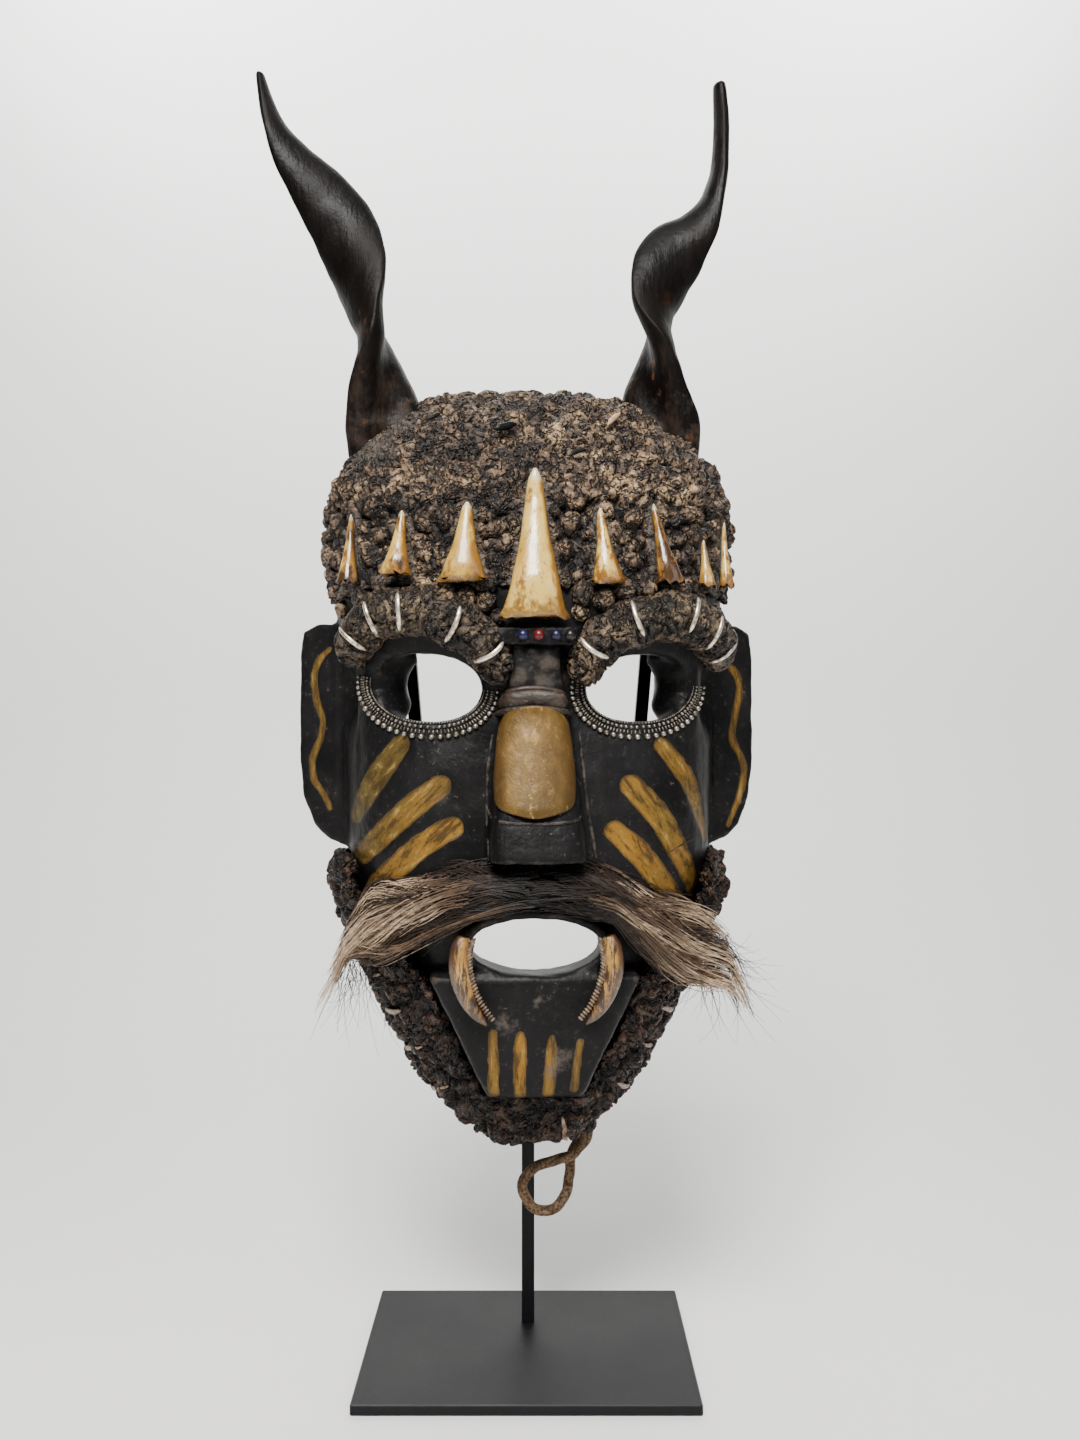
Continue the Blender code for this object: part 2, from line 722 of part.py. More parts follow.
def horn_rings(keys, grow=0.0):
    """Lens-shaped rings up a twisted horn, closer together at its tip."""
    rings = []
    low, high = keys[0][0], keys[-1][0]
    for k in range(HORN_RINGS):
        height = low + (high - low) * (1 - (1 - k / (HORN_RINGS - 1)) ** HORN_RING_POWER)
        x, y, wide, thick, turn = (smooth_value(keys, height, column) for column in range(1, 6))
        step = 0.002
        ahead = Vector(
            (
                smooth_value(keys, height + step, 1) - smooth_value(keys, height - step, 1),
                smooth_value(keys, height + step, 2) - smooth_value(keys, height - step, 2),
                2 * step,
            )
        ).normalized()
        across = (Vector((1, 0, 0)) - ahead * ahead.x).normalized()
        deep = ahead.cross(across)
        turned = math.radians(turn)
        major = across * math.cos(turned) + deep * math.sin(turned)
        minor = ahead.cross(major)
        centre = Vector((x, y, height)) - ahead * (grow if k == 0 else 0.0)
        ring = []
        for i in range(HORN_SIDES):
            angle = math.tau * i / HORN_SIDES
            a = (HORN_WIDTH / 2 * wide + grow) * math.cos(angle)
            b = (HORN_THICKNESS / 2 * thick + grow) * signed_power(math.sin(angle), 1.25)
            ring.append(centre + major * a + minor * b)
        rings.append(ring)
    return rings


def make_horns(materials, parent, skin_cutter):
    feet = []
    for name, keys in (("left_horn", LEFT_HORN), ("right_horn", RIGHT_HORN)):
        horn = loft(name, horn_rings(keys), materials["horn"], parent, 60)
        cut(horn, skin_cutter)
        feet.append(loft(f"{name}_socket", horn_rings(keys, SOCKET_GAP), None, parent))
    return feet


# Name, side of the tip, side of the base, height of base and tip, width, depth
TEETH = (
    ("centre_tooth", 0.0000, -0.0005, 0.2215, 0.2850, 0.0285, 0.0125),
    ("left_tooth_1", -0.0285, -0.0305, 0.2370, 0.2700, 0.0185, 0.0095),
    ("left_tooth_2", -0.0560, -0.0585, 0.2400, 0.2675, 0.0115, 0.0080),
    ("left_tooth_3", -0.0790, -0.0800, 0.2385, 0.2685, 0.0085, 0.0065),
    ("right_tooth_1", 0.0272, 0.0300, 0.2370, 0.2680, 0.0110, 0.0080),
    ("right_tooth_2", 0.0505, 0.0570, 0.2375, 0.2710, 0.0095, 0.0075),
    ("right_tooth_3", 0.0745, 0.0755, 0.2375, 0.2580, 0.0070, 0.0060),
    ("right_tooth_4", 0.0862, 0.0868, 0.2390, 0.2680, 0.0060, 0.0050),
)
TOOTH_TAPER = ((0.0, 1.0, 0.80), (0.08, 0.98, 1.0), (0.35, 0.62, 0.86), (0.70, 0.36, 0.56), (1.0, 0.13, 0.22))


def crust_front(x, height):
    """The smooth outside of the crust, or the brow's edge below it."""
    half, front, rim, square = section(share_of(height))
    across = min(0.999, abs(x) / half)
    turn = math.asin(across ** (square / 2))
    thick, lumpy = crust_proud(share_of(height), turn)
    if height < CRUST_LOWER_EDGE:
        thick = CRUST_THIN
    lean = 1 / max(0.35, math.cos(turn))
    return face_y(x, height) - (thick + CRUST_LUMP * 0.5 * lumpy) * lean


def tooth_rings(tip_x, base_x, low, high, width, depth):
    """Rings up a tooth that is flat behind and pointed at its tip."""
    rings = []
    for k in range(TOOTH_STATIONS):
        place = k / (TOOTH_STATIONS - 1)
        height = low + (high - low) * place
        centre = base_x + (tip_x - base_x) * place
        half = width / 2 * smooth_value(TOOTH_TAPER, place, 1)
        deep = depth * smooth_value(TOOTH_TAPER, place, 2)
        out = Vector((centre, -TOOTH_FACING)).normalized() if abs(centre) > TOOTH_TURN_FROM else Vector((0.0, -1.0))
        side = Vector((-out.y, out.x))
        back = min(crust_front(centre + s * half, height) for s in (-1, -0.5, 0, 0.5, 1)) - TOOTH_BACK_GAP
        ring = []
        for across, forward in ((-1, 0), (-0.62, 0.62), (0, 1), (0.62, 0.62), (1, 0)):
            flat = Vector((centre, back)) + side * half * across + out * deep * forward
            ring.append(Vector((flat.x, flat.y, height)))
        rings.append(ring)
    return rings


def make_teeth(materials, parent, cutters):
    for name, tip_x, base_x, low, high, width, depth in TEETH:
        tooth = loft(name, tooth_rings(tip_x, base_x, low, high, width, depth), materials["ivory"], parent, 50)
        for cutter in cutters:
            cut(tooth, cutter)


# Middle line of one brow, as sides and heights above the eye's middle, from its outer end to the nose
BROW_ROUTE = (
    (0.0850, 0.0190),
    (0.0765, 0.0270),
    (0.0650, 0.0300),
    (0.0500, 0.0285),
    (0.0360, 0.0250),
    (0.0250, 0.0175),
    (0.0180, 0.0070),
    (0.0170, 0.0005),
)
BROW_BANDS = (0.19, 0.30, 0.43, 0.66, 0.83)


def brow_route(side, count):
    points = []
    for x, above in BROW_ROUTE:
        height = EYE_CENTRE_HEIGHT + above
        points.append((side * x, face_y(x, height) - BROW_RADIUS * BROW_PROUD_SHARE, height))
    return smooth_route(points, count)


def brow_size(place):
    end = min(place, 1 - place)
    fill = 0.55 + 0.45 * min(1.0, end / 0.12)
    return BROW_RADIUS * fill, BROW_RADIUS * fill


def make_brows(materials, parent, cutters):
    for side, word in ((-1, "left"), (1, "right")):
        route = brow_route(side, BROW_STATIONS)
        brow = loft(f"{word}_brow", rings_along(route, brow_size, 8, Vector((0, 1, 0))), materials["crust"], parent)
        for cutter in cutters:
            cut(brow, cutter)
        for number, place in enumerate(BROW_BANDS):
            name = f"{word}_brow_band_{number + 1}"
            cut(make_band(name, side, place, materials["silver"], parent), cutters[0])


def make_band(name, side, place, finish_material, parent):
    """An open ring of flat wire over the front of the brow."""
    fine = brow_route(side, 101)
    at = round(place * 100)
    centre = fine[at]
    ahead = (fine[min(100, at + 2)] - fine[max(0, at - 2)]).normalized()
    out = Vector((0, -1, 0)) - ahead * -ahead.y
    out.normalize()
    across = ahead.cross(out)
    facet = 1 / math.cos(math.radians(BROW_BAND_REACH_DEGREES / (BROW_BAND_STATIONS - 1)))
    radius = (brow_size(place)[0] + BROW_BAND_RADIUS + GAP) * facet
    rings = []
    for k in range(BROW_BAND_STATIONS):
        angle = math.radians(BROW_BAND_REACH_DEGREES * (2 * k / (BROW_BAND_STATIONS - 1) - 1))
        spoke = out * math.cos(angle) + across * math.sin(angle)
        middle = centre + spoke * radius
        ring = []
        for wide, thick in ((-1, 0), (0, -1), (1, 0), (0, 1)):
            ring.append(middle + ahead * wide * BROW_BAND_RADIUS + spoke * thick * BROW_BAND_RADIUS)
        rings.append(ring)
    return loft(name, rings, finish_material, parent)


def bead_string(name, route, count, radius, finish_material, parent):
    """Beads threaded so closely that they are one string."""
    points = smooth_route(route, 2 * count + 1)

    def size(place):
        full = radius if round(place * 2 * count) % 2 else radius / 2
        return full, full

    return loft(name, rings_along(points, size, 4, Vector((0, 1, 0))), finish_material, parent, 30)


def lid_route(side, spread, count=9):
    """A line round the lower lid, a little outside the eye hole."""
    route = []
    for k in range(count):
        turn = math.radians(LID_REACH_DEGREES * (1 + k / (count - 1)))
        x = (EYE_WIDTH / 2 + spread) * signed_power(math.cos(turn), EYE_POWER)
        z = (EYE_HEIGHT / 2 + spread) * math.sin(turn) + EYE_LEAN_SHARE * x * side
        place = side * EYE_SPACING / 2 + x
        height = EYE_CENTRE_HEIGHT + z
        route.append((place, face_y(place, height) - BEAD_RADIUS - SURFACE_GAP, height))
    return route


def make_beads(materials, parent):
    for side, word in ((-1, "left"), (1, "right")):
        for row, spread in (("inner", BEAD_RADIUS + SURFACE_GAP), ("outer", 3 * BEAD_RADIUS + 2 * SURFACE_GAP)):
            name = f"{word}_eye_beads_{row}"
            bead_string(name, lid_route(side, spread), LID_BEADS, BEAD_RADIUS, materials["silver"], parent)


NOSE_BEADS = (
    ("nose_bead_1", -0.0056, "blue"),
    ("nose_bead_2", 0.0009, "red"),
    ("nose_bead_3", 0.0080, "blue"),
    ("nose_bead_4", 0.0138, "dark"),
)
NOSE_STRIP_HEIGHT = 0.0075
NOSE_STRIP_HALF = 0.0165
NOSE_STRIP_MIDDLE = NOSE_TOP_HEIGHT + 0.0028


def make_nose_trim(materials, parent):
    back = nose_front(NOSE_TOP_HEIGHT)[1] - SURFACE_GAP
    strip_back = min(back, face_y(0.0, NOSE_STRIP_MIDDLE) - SURFACE_GAP)
    box(
        "nose_bead_strip",
        (-NOSE_STRIP_HALF, strip_back - NOSE_STRIP_THICKNESS, NOSE_STRIP_MIDDLE - NOSE_STRIP_HEIGHT / 2),
        (NOSE_STRIP_HALF, strip_back, NOSE_STRIP_MIDDLE + NOSE_STRIP_HEIGHT / 2),
        materials["wood"],
        parent,
    )
    for name, x, colour in NOSE_BEADS:
        bm = bmesh.new()
        bmesh.ops.create_uvsphere(bm, u_segments=8, v_segments=5, radius=NOSE_BEAD_RADIUS)
        y = strip_back - NOSE_STRIP_THICKNESS - NOSE_BEAD_RADIUS - GAP
        bmesh.ops.translate(bm, vec=(x, y, NOSE_STRIP_MIDDLE), verts=bm.verts)
        finish(name, bm, materials[colour], parent)
    make_nose_plate(materials, parent)


def make_nose_plate(materials, parent):
    """A thin plate bent over the front of the nose, with rounded lower corners."""
    rings = []
    for k in range(NOSE_PLATE_STATIONS):
        place = k / (NOSE_PLATE_STATIONS - 1)
        height = NOSE_PLATE_TOP - NOSE_PLATE_HEIGHT * place
        half, front = nose_front(height)
        deep = face_y(half, height) + WALL * ROOT_SHARE - front
        corner = max(0.0, (place - 0.82) / 0.18)
        shoulder = max(0.0, (0.12 - place) / 0.12)
        wide = NOSE_PLATE_WIDTH / 2 * (1 - 0.38 * corner**2 - 0.12 * shoulder)
        wide = min(wide * (0.78 + 0.22 * place), half - 0.0008)
        outer, inner = [], []
        for i in range(NOSE_SIDES):
            x = wide * (-1 + 2 * i / (NOSE_SIDES - 1))
            turn = math.asin(max(-1.0, min(1.0, signed_power(x / half, 2.0))))
            y = front + nose_rounding(deep, turn) - SURFACE_GAP
            inner.append(Vector((x, y, height)))
            outer.append(Vector((x, y - NOSE_PLATE_THICKNESS, height)))
        rings.append(outer + inner[::-1])
    return loft("nose_plate", rings, materials["gold"], parent)


MOUSTACHE_STATIONS = 15
MOUSTACHE_SIDES = 8
MOUSTACHE_END_SHARE = 0.55
MOUSTACHE_WRAP_SHARE = 0.93
# Middle line of the moustache: side, height from the nose's base, half height
MOUSTACHE = (
    (-0.0800, -0.0368, 0.0060),
    (-0.0680, -0.0298, 0.0150),
    (-0.0520, -0.0233, 0.0140),
    (-0.0340, -0.0173, 0.0108),
    (-0.0160, -0.0133, 0.0090),
    (0.0010, -0.0118, 0.0085),
    (0.0180, -0.0133, 0.0090),
    (0.0360, -0.0203, 0.0108),
    (0.0540, -0.0288, 0.0130),
    (0.0720, -0.0383, 0.0140),
    (0.0860, -0.0438, 0.0050),
)


def moustache_block(name, finish_material, parent, grow=0.0):
    """A flattened roll of hair over the upper lip and the cheeks' lower ends."""
    rings = []
    for k in range(MOUSTACHE_STATIONS):
        x = MOUSTACHE[0][0] + (MOUSTACHE[-1][0] - MOUSTACHE[0][0]) * k / (MOUSTACHE_STATIONS - 1)
        z = NOSE_BASE_HEIGHT + smooth_value(MOUSTACHE, x, 1)
        high = smooth_value(MOUSTACHE, x, 2)
        end = min(k, MOUSTACHE_STATIONS - 1 - k)
        deep = MOUSTACHE_THICKNESS / 2 * min(1.0, MOUSTACHE_END_SHARE + (1 - MOUSTACHE_END_SHARE) * end / 3)
        near = []
        for share in (-1, -0.5, 0, 0.5, 1):
            widest = section(share_of(z + share * high))[0] * MOUSTACHE_WRAP_SHARE
            near.append(face_y(max(-widest, min(widest, x)), z + share * high))
        over_lip = abs(x) < MOUTH_WIDTH / 2 + 2 * LIP_WIDTH
        centre = Vector((x, min(near) - (LIP_PROUD if over_lip else 0.0) - deep - SURFACE_GAP, z))
        ring = []
        for i in range(MOUSTACHE_SIDES):
            angle = math.tau * i / MOUSTACHE_SIDES
            ring.append(centre + Vector((0, (deep + grow) * math.cos(angle), (high + grow) * math.sin(angle))))
        rings.append(ring)
    if grow:
        rings.insert(0, [point - Vector((grow, 0, 0)) for point in rings[0]])
        rings.append([point + Vector((grow, 0, 0)) for point in rings[-1]])
    return loft(name, rings, finish_material, parent)


# Middle line of one tusk: side, height from the mouth's middle, share of the full thickness
TUSK = (
    (0.0345, 0.0035, 0.80),
    (0.0355, -0.0065, 1.00),
    (0.0325, -0.0175, 0.95),
    (0.0270, -0.0265, 0.72),
    (0.0210, -0.0310, 0.35),
)


def make_tusks(materials, parent, moustache_cutter):
    y = min(jaw_front(JAW_TOP_HEIGHT), face_y(0.0, MOUTH_CENTRE_HEIGHT) - LIP_PROUD) - TUSK_RADIUS * 0.8 - SURFACE_GAP
    for side, word in ((-1, "left"), (1, "right")):
        route = smooth_route([(side * x, y, MOUTH_CENTRE_HEIGHT + z) for x, z, fill in TUSK], TUSK_STATIONS)
        fills = [(k / (len(TUSK) - 1), fill) for k, (x, z, fill) in enumerate(TUSK)]

        def size(place):
            fill = smooth_value(fills, place)
            return TUSK_RADIUS * fill, TUSK_RADIUS * TUSK_FLAT_SHARE * fill

        rings = rings_along(route, size, TUSK_SIDES, Vector((0, 1, 0)))
        cut(loft(f"{word}_tusk", rings, materials["ivory"], parent), moustache_cutter)


def beard_block(parent, finish_material):
    """The jaw's form made thicker all round, closed under the chin by a rounded keel."""
    low = -BEARD_DROP
    high = EAR_CENTRE_HEIGHT - EAR_HEIGHT / 2 - BEARD_BELOW_EAR
    rings = []
    for row in range(BEARD_ROWS + 1):
        place = row / BEARD_ROWS
        height = low + (high - low) * place**BEARD_ROW_POWER
        under = max(0.0, min(BEARD_KEEL_SHARE, -height / BEARD_DROP))
        keel = math.sqrt(1 - under * under)
        half, front, rim, square = section(share_of(height))
        top_end = max(0.0, (place - BEARD_NARROW_FROM_SHARE) / (1 - BEARD_NARROW_FROM_SHARE))
        half = (half + BEARD_THICKNESS * (1 - BEARD_TOP_NARROW_SHARE * top_end**2)) * keel
        front = rim - (rim - front + BEARD_FRONT_THICKNESS) * keel
        ring = []
        for column, turn in enumerate(way_across(BEARD_COLUMNS)):
            lump = BEARD_LUMP * (0.5 if (row + column) % 2 else -0.5)
            x = (half + lump) * signed_power(math.sin(turn), 2 / square)
            deep = max(0.0, math.cos(turn)) ** (2 / square)
            ring.append(Vector((x, rim - (rim - front + lump) * deep, height)))
        rings.append(ring)
    return loft("beard_crust", rings, finish_material, parent, 70)


def bare_jaw_outline():
    """The bare part of the lower face: the jaw plate, and the cheeks above it nearly out to the sides."""
    half = [
        (JAW_BASE_WIDTH / 2 + JAW_EDGE, JAW_BASE_HEIGHT - JAW_EDGE),
        (JAW_TOP_WIDTH / 2 + JAW_EDGE * 2, JAW_TOP_HEIGHT),
    ]
    for above in BARE_CHEEK_ABOVE_JAW:
        height = JAW_TOP_HEIGHT + above
        half.append((section(share_of(height))[0] - BARE_CHEEK_MARGIN, height))
    return half + [(-x, z) for x, z in reversed(half)]


def make_beard(materials, parent, cutters):
    """A crust of hair round the edge of the jaw, from ear to ear."""
    beard = beard_block(parent, materials["crust"])
    for cutter in cutters:
        cut(beard, cutter)
    cut(beard, through_cutter("bare_jaw", bare_jaw_outline(), parent, -FAR, FAR))


# Route of the hanging cord, in the stand's frame
CORD_ROUTE = (
    (0.0275, -0.0060, 0.1030),
    (0.0245, -0.0070, 0.0990),
    (0.0205, -0.0085, 0.0955),
    (0.0140, -0.0095, 0.0935),
    (0.0070, -0.0095, 0.0915),
    (0.0010, -0.0095, 0.0880),
    (-0.0022, -0.0095, 0.0825),
    (-0.0010, -0.0090, 0.0760),
    (0.0035, -0.0080, 0.0705),
    (0.0090, -0.0070, 0.0690),
    (0.0145, -0.0060, 0.0715),
    (0.0180, -0.0045, 0.0770),
    (0.0195, -0.0030, 0.0840),
    (0.0200, -0.0020, 0.0910),
    (0.0220, -0.0010, 0.0970),
    (0.0250, 0.0000, 0.1015),
)


def make_cord(materials):
    points = smooth_route(CORD_ROUTE, CORD_POINTS)
    curve = bpy.data.curves.new("cord_loop", "CURVE")
    curve.dimensions = "3D"
    curve.bevel_depth = CORD_RADIUS
    curve.bevel_resolution = 2
    curve.use_fill_caps = True
    spline = curve.splines.new("POLY")
    spline.points.add(len(points) - 1)
    for spot, point in zip(spline.points, points):
        spot.co = (*point, 1.0)
    curve.materials.append(materials["cord"])
    cord = bpy.data.objects.new("cord_loop", curve)
    bpy.context.scene.collection.objects.link(cord)


def main():
    for obj in list(bpy.data.objects):
        bpy.data.objects.remove(obj)
    materials = make_materials()
    make_stand(materials)
    mask_frame = bpy.data.objects.new("mask_frame", None)
    bpy.context.scene.collection.objects.link(mask_frame)
    mask_frame.location = (MASK_SIDE_SHIFT, 0.0, CHIN_HEIGHT)
    mask_frame.rotation_euler = (0.0, 0.0, math.radians(MASK_TURN_DEGREES))
    make_mask(materials, mask_frame)
    skin_cutter = mask_block("skin_clearance", MASK_ROWS, MASK_COLUMNS, None, mask_frame, GAP)
    horns = make_horns(materials, mask_frame, skin_cutter)
    make_crown_crust(materials, mask_frame, skin_cutter, horns)
    crust_cutter = crust_block("crust_clearance", None, mask_frame, GAP)
    nose_cutter = nose_block("nose_clearance", mask_frame, SURFACE_GAP)
    make_teeth(materials, mask_frame, (skin_cutter, crust_cutter, nose_cutter))
    make_brows(materials, mask_frame, (skin_cutter, nose_cutter))
    make_beads(materials, mask_frame)
    make_nose_trim(materials, mask_frame)
    moustache_block("moustache", materials["hair"], mask_frame)
    moustache_cutter = moustache_block("moustache_clearance", None, mask_frame, SOCKET_GAP)
    make_tusks(materials, mask_frame, moustache_cutter)
    make_beard(materials, mask_frame, (skin_cutter, moustache_cutter))
    make_cord(materials)


main()
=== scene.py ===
"""The looks of a horned wooden dance mask on its display stand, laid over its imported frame."""

import math
import random

import bmesh
import bpy
import numpy as np
from mathutils import Matrix, Vector, noise
from mathutils.bvhtree import BVHTree


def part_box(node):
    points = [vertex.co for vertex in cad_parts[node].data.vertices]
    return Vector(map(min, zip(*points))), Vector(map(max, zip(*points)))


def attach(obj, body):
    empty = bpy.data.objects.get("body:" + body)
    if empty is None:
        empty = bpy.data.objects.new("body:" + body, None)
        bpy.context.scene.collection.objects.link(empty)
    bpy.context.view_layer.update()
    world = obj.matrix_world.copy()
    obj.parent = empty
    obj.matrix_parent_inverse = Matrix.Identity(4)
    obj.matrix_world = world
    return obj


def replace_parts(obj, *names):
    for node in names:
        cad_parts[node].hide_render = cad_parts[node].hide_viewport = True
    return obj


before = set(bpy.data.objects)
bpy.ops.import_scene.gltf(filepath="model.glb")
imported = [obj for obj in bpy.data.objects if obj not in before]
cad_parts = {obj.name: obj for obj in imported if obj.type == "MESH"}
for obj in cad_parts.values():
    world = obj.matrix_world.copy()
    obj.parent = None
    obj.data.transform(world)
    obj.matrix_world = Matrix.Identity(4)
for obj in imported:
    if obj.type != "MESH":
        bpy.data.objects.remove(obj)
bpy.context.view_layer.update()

bl_info = {
    "name": "Horned dance mask",
    "version": (1, 0, 0),
    "blender": (4, 5, 0),
    "location": "View3D > Sidebar > Dance mask",
    "description": "Models and colours the pieces of a horned dance mask on its stand",
    "category": "Add Mesh",
}

# The mask's own frame: turned a little on its stand. Sides and heights below are in it, in metres
TURN = math.radians(3.0)
SIDE_SHIFT = 0.0006
MASK_FRAME = Matrix.Translation((SIDE_SHIFT, 0.0, 0.0)) @ Matrix.Rotation(TURN, 4, "Z")
INTO_FACE = MASK_FRAME.to_3x3() @ Vector((0.0, 1.0, 0.0))

# How far in front of the mask each search for its surface starts
FAR = 0.5

# The eye holes' middle and half sizes, and how far their outer side closes in towards the back
EYE_HEIGHT = 0.310
EYE_SIDE = 0.046
EYE_HALF_WIDTH = 0.024
EYE_HALF_HEIGHT = 0.0155
SOCKET_TAPER = 0.0145

# Painted strokes: side, height and half width along each, and how warm its ochre is
CHEEK_STROKES = (
    (((-0.0570, 0.2850, 0.0042), (-0.0680, 0.2700, 0.0052), (-0.0785, 0.2530, 0.0034)), 0.10),
    (((-0.0400, 0.2672, 0.0050), (-0.0560, 0.2550, 0.0054), (-0.0745, 0.2370, 0.0046)), 0.40),
    (((-0.0345, 0.2500, 0.0048), (-0.0480, 0.2420, 0.0052), (-0.0680, 0.2240, 0.0050)), 0.90),
    (((0.0548, 0.2845, 0.0036), (0.0675, 0.2690, 0.0042), (0.0780, 0.2430, 0.0016)), 0.50),
    (((0.0410, 0.2672, 0.0050), (0.0550, 0.2520, 0.0056), (0.0730, 0.2200, 0.0038)), 0.70),
    (((0.0340, 0.2480, 0.0048), (0.0460, 0.2370, 0.0054), (0.0620, 0.2170, 0.0046)), 0.80),
)
CHIN_STROKES = (
    (((-0.0178, 0.1650, 0.0020), (-0.0175, 0.1400, 0.0026)), 0.60),
    (((-0.0062, 0.1640, 0.0020), (-0.0066, 0.1560, 0.0028), (-0.0066, 0.1395, 0.0026)), 0.75),
    (((0.0068, 0.1630, 0.0016), (0.0064, 0.1560, 0.0026), (0.0054, 0.1390, 0.0026)), 0.65),
    (((0.0185, 0.1610, 0.0016), (0.0162, 0.1410, 0.0020)), 0.40),
)
EAR_LINES = (
    (
        (
            (-0.0924, 0.3289, 0.0013), (-0.0975, 0.3242, 0.0017), (-0.1002, 0.3159, 0.0018),
            (-0.0988, 0.3043, 0.0018), (-0.0961, 0.2955, 0.0018), (-0.0980, 0.2853, 0.0018),
            (-0.1012, 0.2779, 0.0017), (-0.1002, 0.2686, 0.0016), (-0.0952, 0.2612, 0.0015),
            (-0.0924, 0.2551, 0.0014),
        ),
        0.40,
    ),
    (
        (
            (0.0926, 0.3225, 0.0014), (0.0974, 0.3192, 0.0019), (0.1002, 0.3121, 0.0020), (0.0988, 0.3022, 0.0019),
            (0.0964, 0.2918, 0.0018), (0.0969, 0.2852, 0.0019), (0.1007, 0.2796, 0.0020), (0.1027, 0.2720, 0.0018),
            (0.1007, 0.2616, 0.0017), (0.0945, 0.2466, 0.0015),
        ),
        0.55,
    ),
)
STROKES = CHEEK_STROKES + CHIN_STROKES + EAR_LINES

# Side and height of each brow's middle line, from its outer end to its inner end
BROW_ROUTE = {
    -1: (
        (-0.0800, 0.3225), (-0.0765, 0.3285), (-0.0708, 0.3352), (-0.0614, 0.3398), (-0.0509, 0.3406),
        (-0.0416, 0.3387), (-0.0322, 0.3342), (-0.0232, 0.3279), (-0.0172, 0.3204), (-0.0150, 0.3108),
    ),
    1: (
        (0.0850, 0.3240), (0.0805, 0.3300), (0.0718, 0.3363), (0.0613, 0.3396), (0.0496, 0.3387), (0.0379, 0.3340),
        (0.0286, 0.3286), (0.0222, 0.3204), (0.0192, 0.3105),
    ),
}
BROW_RADIUS = 0.0100
# Where along each brow its bands lie, and into how many steps its line is cut to place them
BROW_BANDS = (0.17, 0.31, 0.44, 0.66, 0.84)
BAND_STEPS = 200

# Along each horn: height, side, depth, shares of the width and of the thickness, and turn in degrees
LEFT_HORN = (
    (0.412, -0.0640, 0.0080, 1.06, 1.25, -14),
    (0.432, -0.0670, 0.0065, 1.04, 1.20, 8),
    (0.451, -0.0690, 0.0055, 0.98, 1.10, 34),
    (0.472, -0.0712, 0.0050, 0.92, 1.00, 82),
    (0.490, -0.0765, 0.0050, 0.90, 0.92, 118),
    (0.508, -0.0800, 0.0050, 0.88, 0.86, 150),
    (0.528, -0.0875, 0.0060, 0.86, 0.80, 178),
    (0.546, -0.0995, 0.0070, 0.76, 0.72, 192),
    (0.562, -0.1115, 0.0080, 0.60, 0.62, 212),
    (0.580, -0.1212, 0.0090, 0.40, 0.48, 248),
    (0.593, -0.1250, 0.0095, 0.26, 0.36, 264),
    (0.601, -0.1268, 0.0100, 0.16, 0.24, 270),
)
RIGHT_HORN = (
    (0.412, 0.0600, 0.0080, 1.06, 1.25, 14),
    (0.432, 0.0632, 0.0065, 1.04, 1.20, -8),
    (0.451, 0.0600, 0.0055, 0.96, 1.10, -36),
    (0.472, 0.0605, 0.0050, 0.90, 0.98, -82),
    (0.490, 0.0595, 0.0050, 0.90, 0.90, -128),
    (0.506, 0.0628, 0.0050, 0.88, 0.84, -160),
    (0.520, 0.0706, 0.0060, 0.84, 0.78, -186),
    (0.532, 0.0810, 0.0070, 0.66, 0.66, -214),
    (0.545, 0.0880, 0.0080, 0.48, 0.56, -242),
    (0.562, 0.0922, 0.0090, 0.40, 0.52, -262),
    (0.582, 0.0932, 0.0095, 0.34, 0.50, -270),
    (0.596, 0.0925, 0.0100, 0.28, 0.44, -270),
    (0.602, 0.0922, 0.0100, 0.24, 0.40, -270),
)
HORN_WIDTH = 0.036
HORN_THICKNESS = 0.017

# The cord's middle line in the object's own frame, its radius, and the run from one strand's ridge to the next
CORD_ROUTE = (
    (0.0290, -0.0040, 0.1105), (0.0275, -0.0060, 0.1030), (0.0245, -0.0070, 0.0990), (0.0205, -0.0085, 0.0955),
    (0.0140, -0.0095, 0.0935), (0.0070, -0.0095, 0.0915), (0.0010, -0.0095, 0.0880), (-0.0022, -0.0095, 0.0825),
    (-0.0010, -0.0090, 0.0760), (0.0035, -0.0080, 0.0705), (0.0090, -0.0070, 0.0690), (0.0145, -0.0060, 0.0715),
    (0.0180, -0.0045, 0.0770), (0.0195, -0.0030, 0.0840), (0.0200, -0.0020, 0.0910), (0.0220, -0.0010, 0.0970),
    (0.0250, 0.0000, 0.1015), (0.0280, 0.0005, 0.1080),
)
CORD_RADIUS = 0.0025
STRAND_RUN = 0.0105

# Tip side, base side, base height, tip height, width, depth and how brown each tooth is
TEETH = {
    "centre_tooth": (0.0000, -0.0005, 0.3375, 0.4010, 0.0250, 0.0125, 0.22),
    "left_tooth_1": (-0.0285, -0.0305, 0.3530, 0.3860, 0.0180, 0.0095, 0.05),
    "left_tooth_2": (-0.0560, -0.0585, 0.3560, 0.3835, 0.0120, 0.0080, 0.60),
    "left_tooth_3": (-0.0790, -0.0800, 0.3545, 0.3845, 0.0085, 0.0065, 0.95),
    "right_tooth_1": (0.0272, 0.0300, 0.3530, 0.3840, 0.0120, 0.0080, 0.50),
    "right_tooth_2": (0.0505, 0.0570, 0.3535, 0.3870, 0.0105, 0.0075, 1.05),
    "right_tooth_3": (0.0745, 0.0755, 0.3535, 0.3740, 0.0070, 0.0060, 0.35),
    "right_tooth_4": (0.0862, 0.0868, 0.3550, 0.3840, 0.0060, 0.0050, 0.50),
}
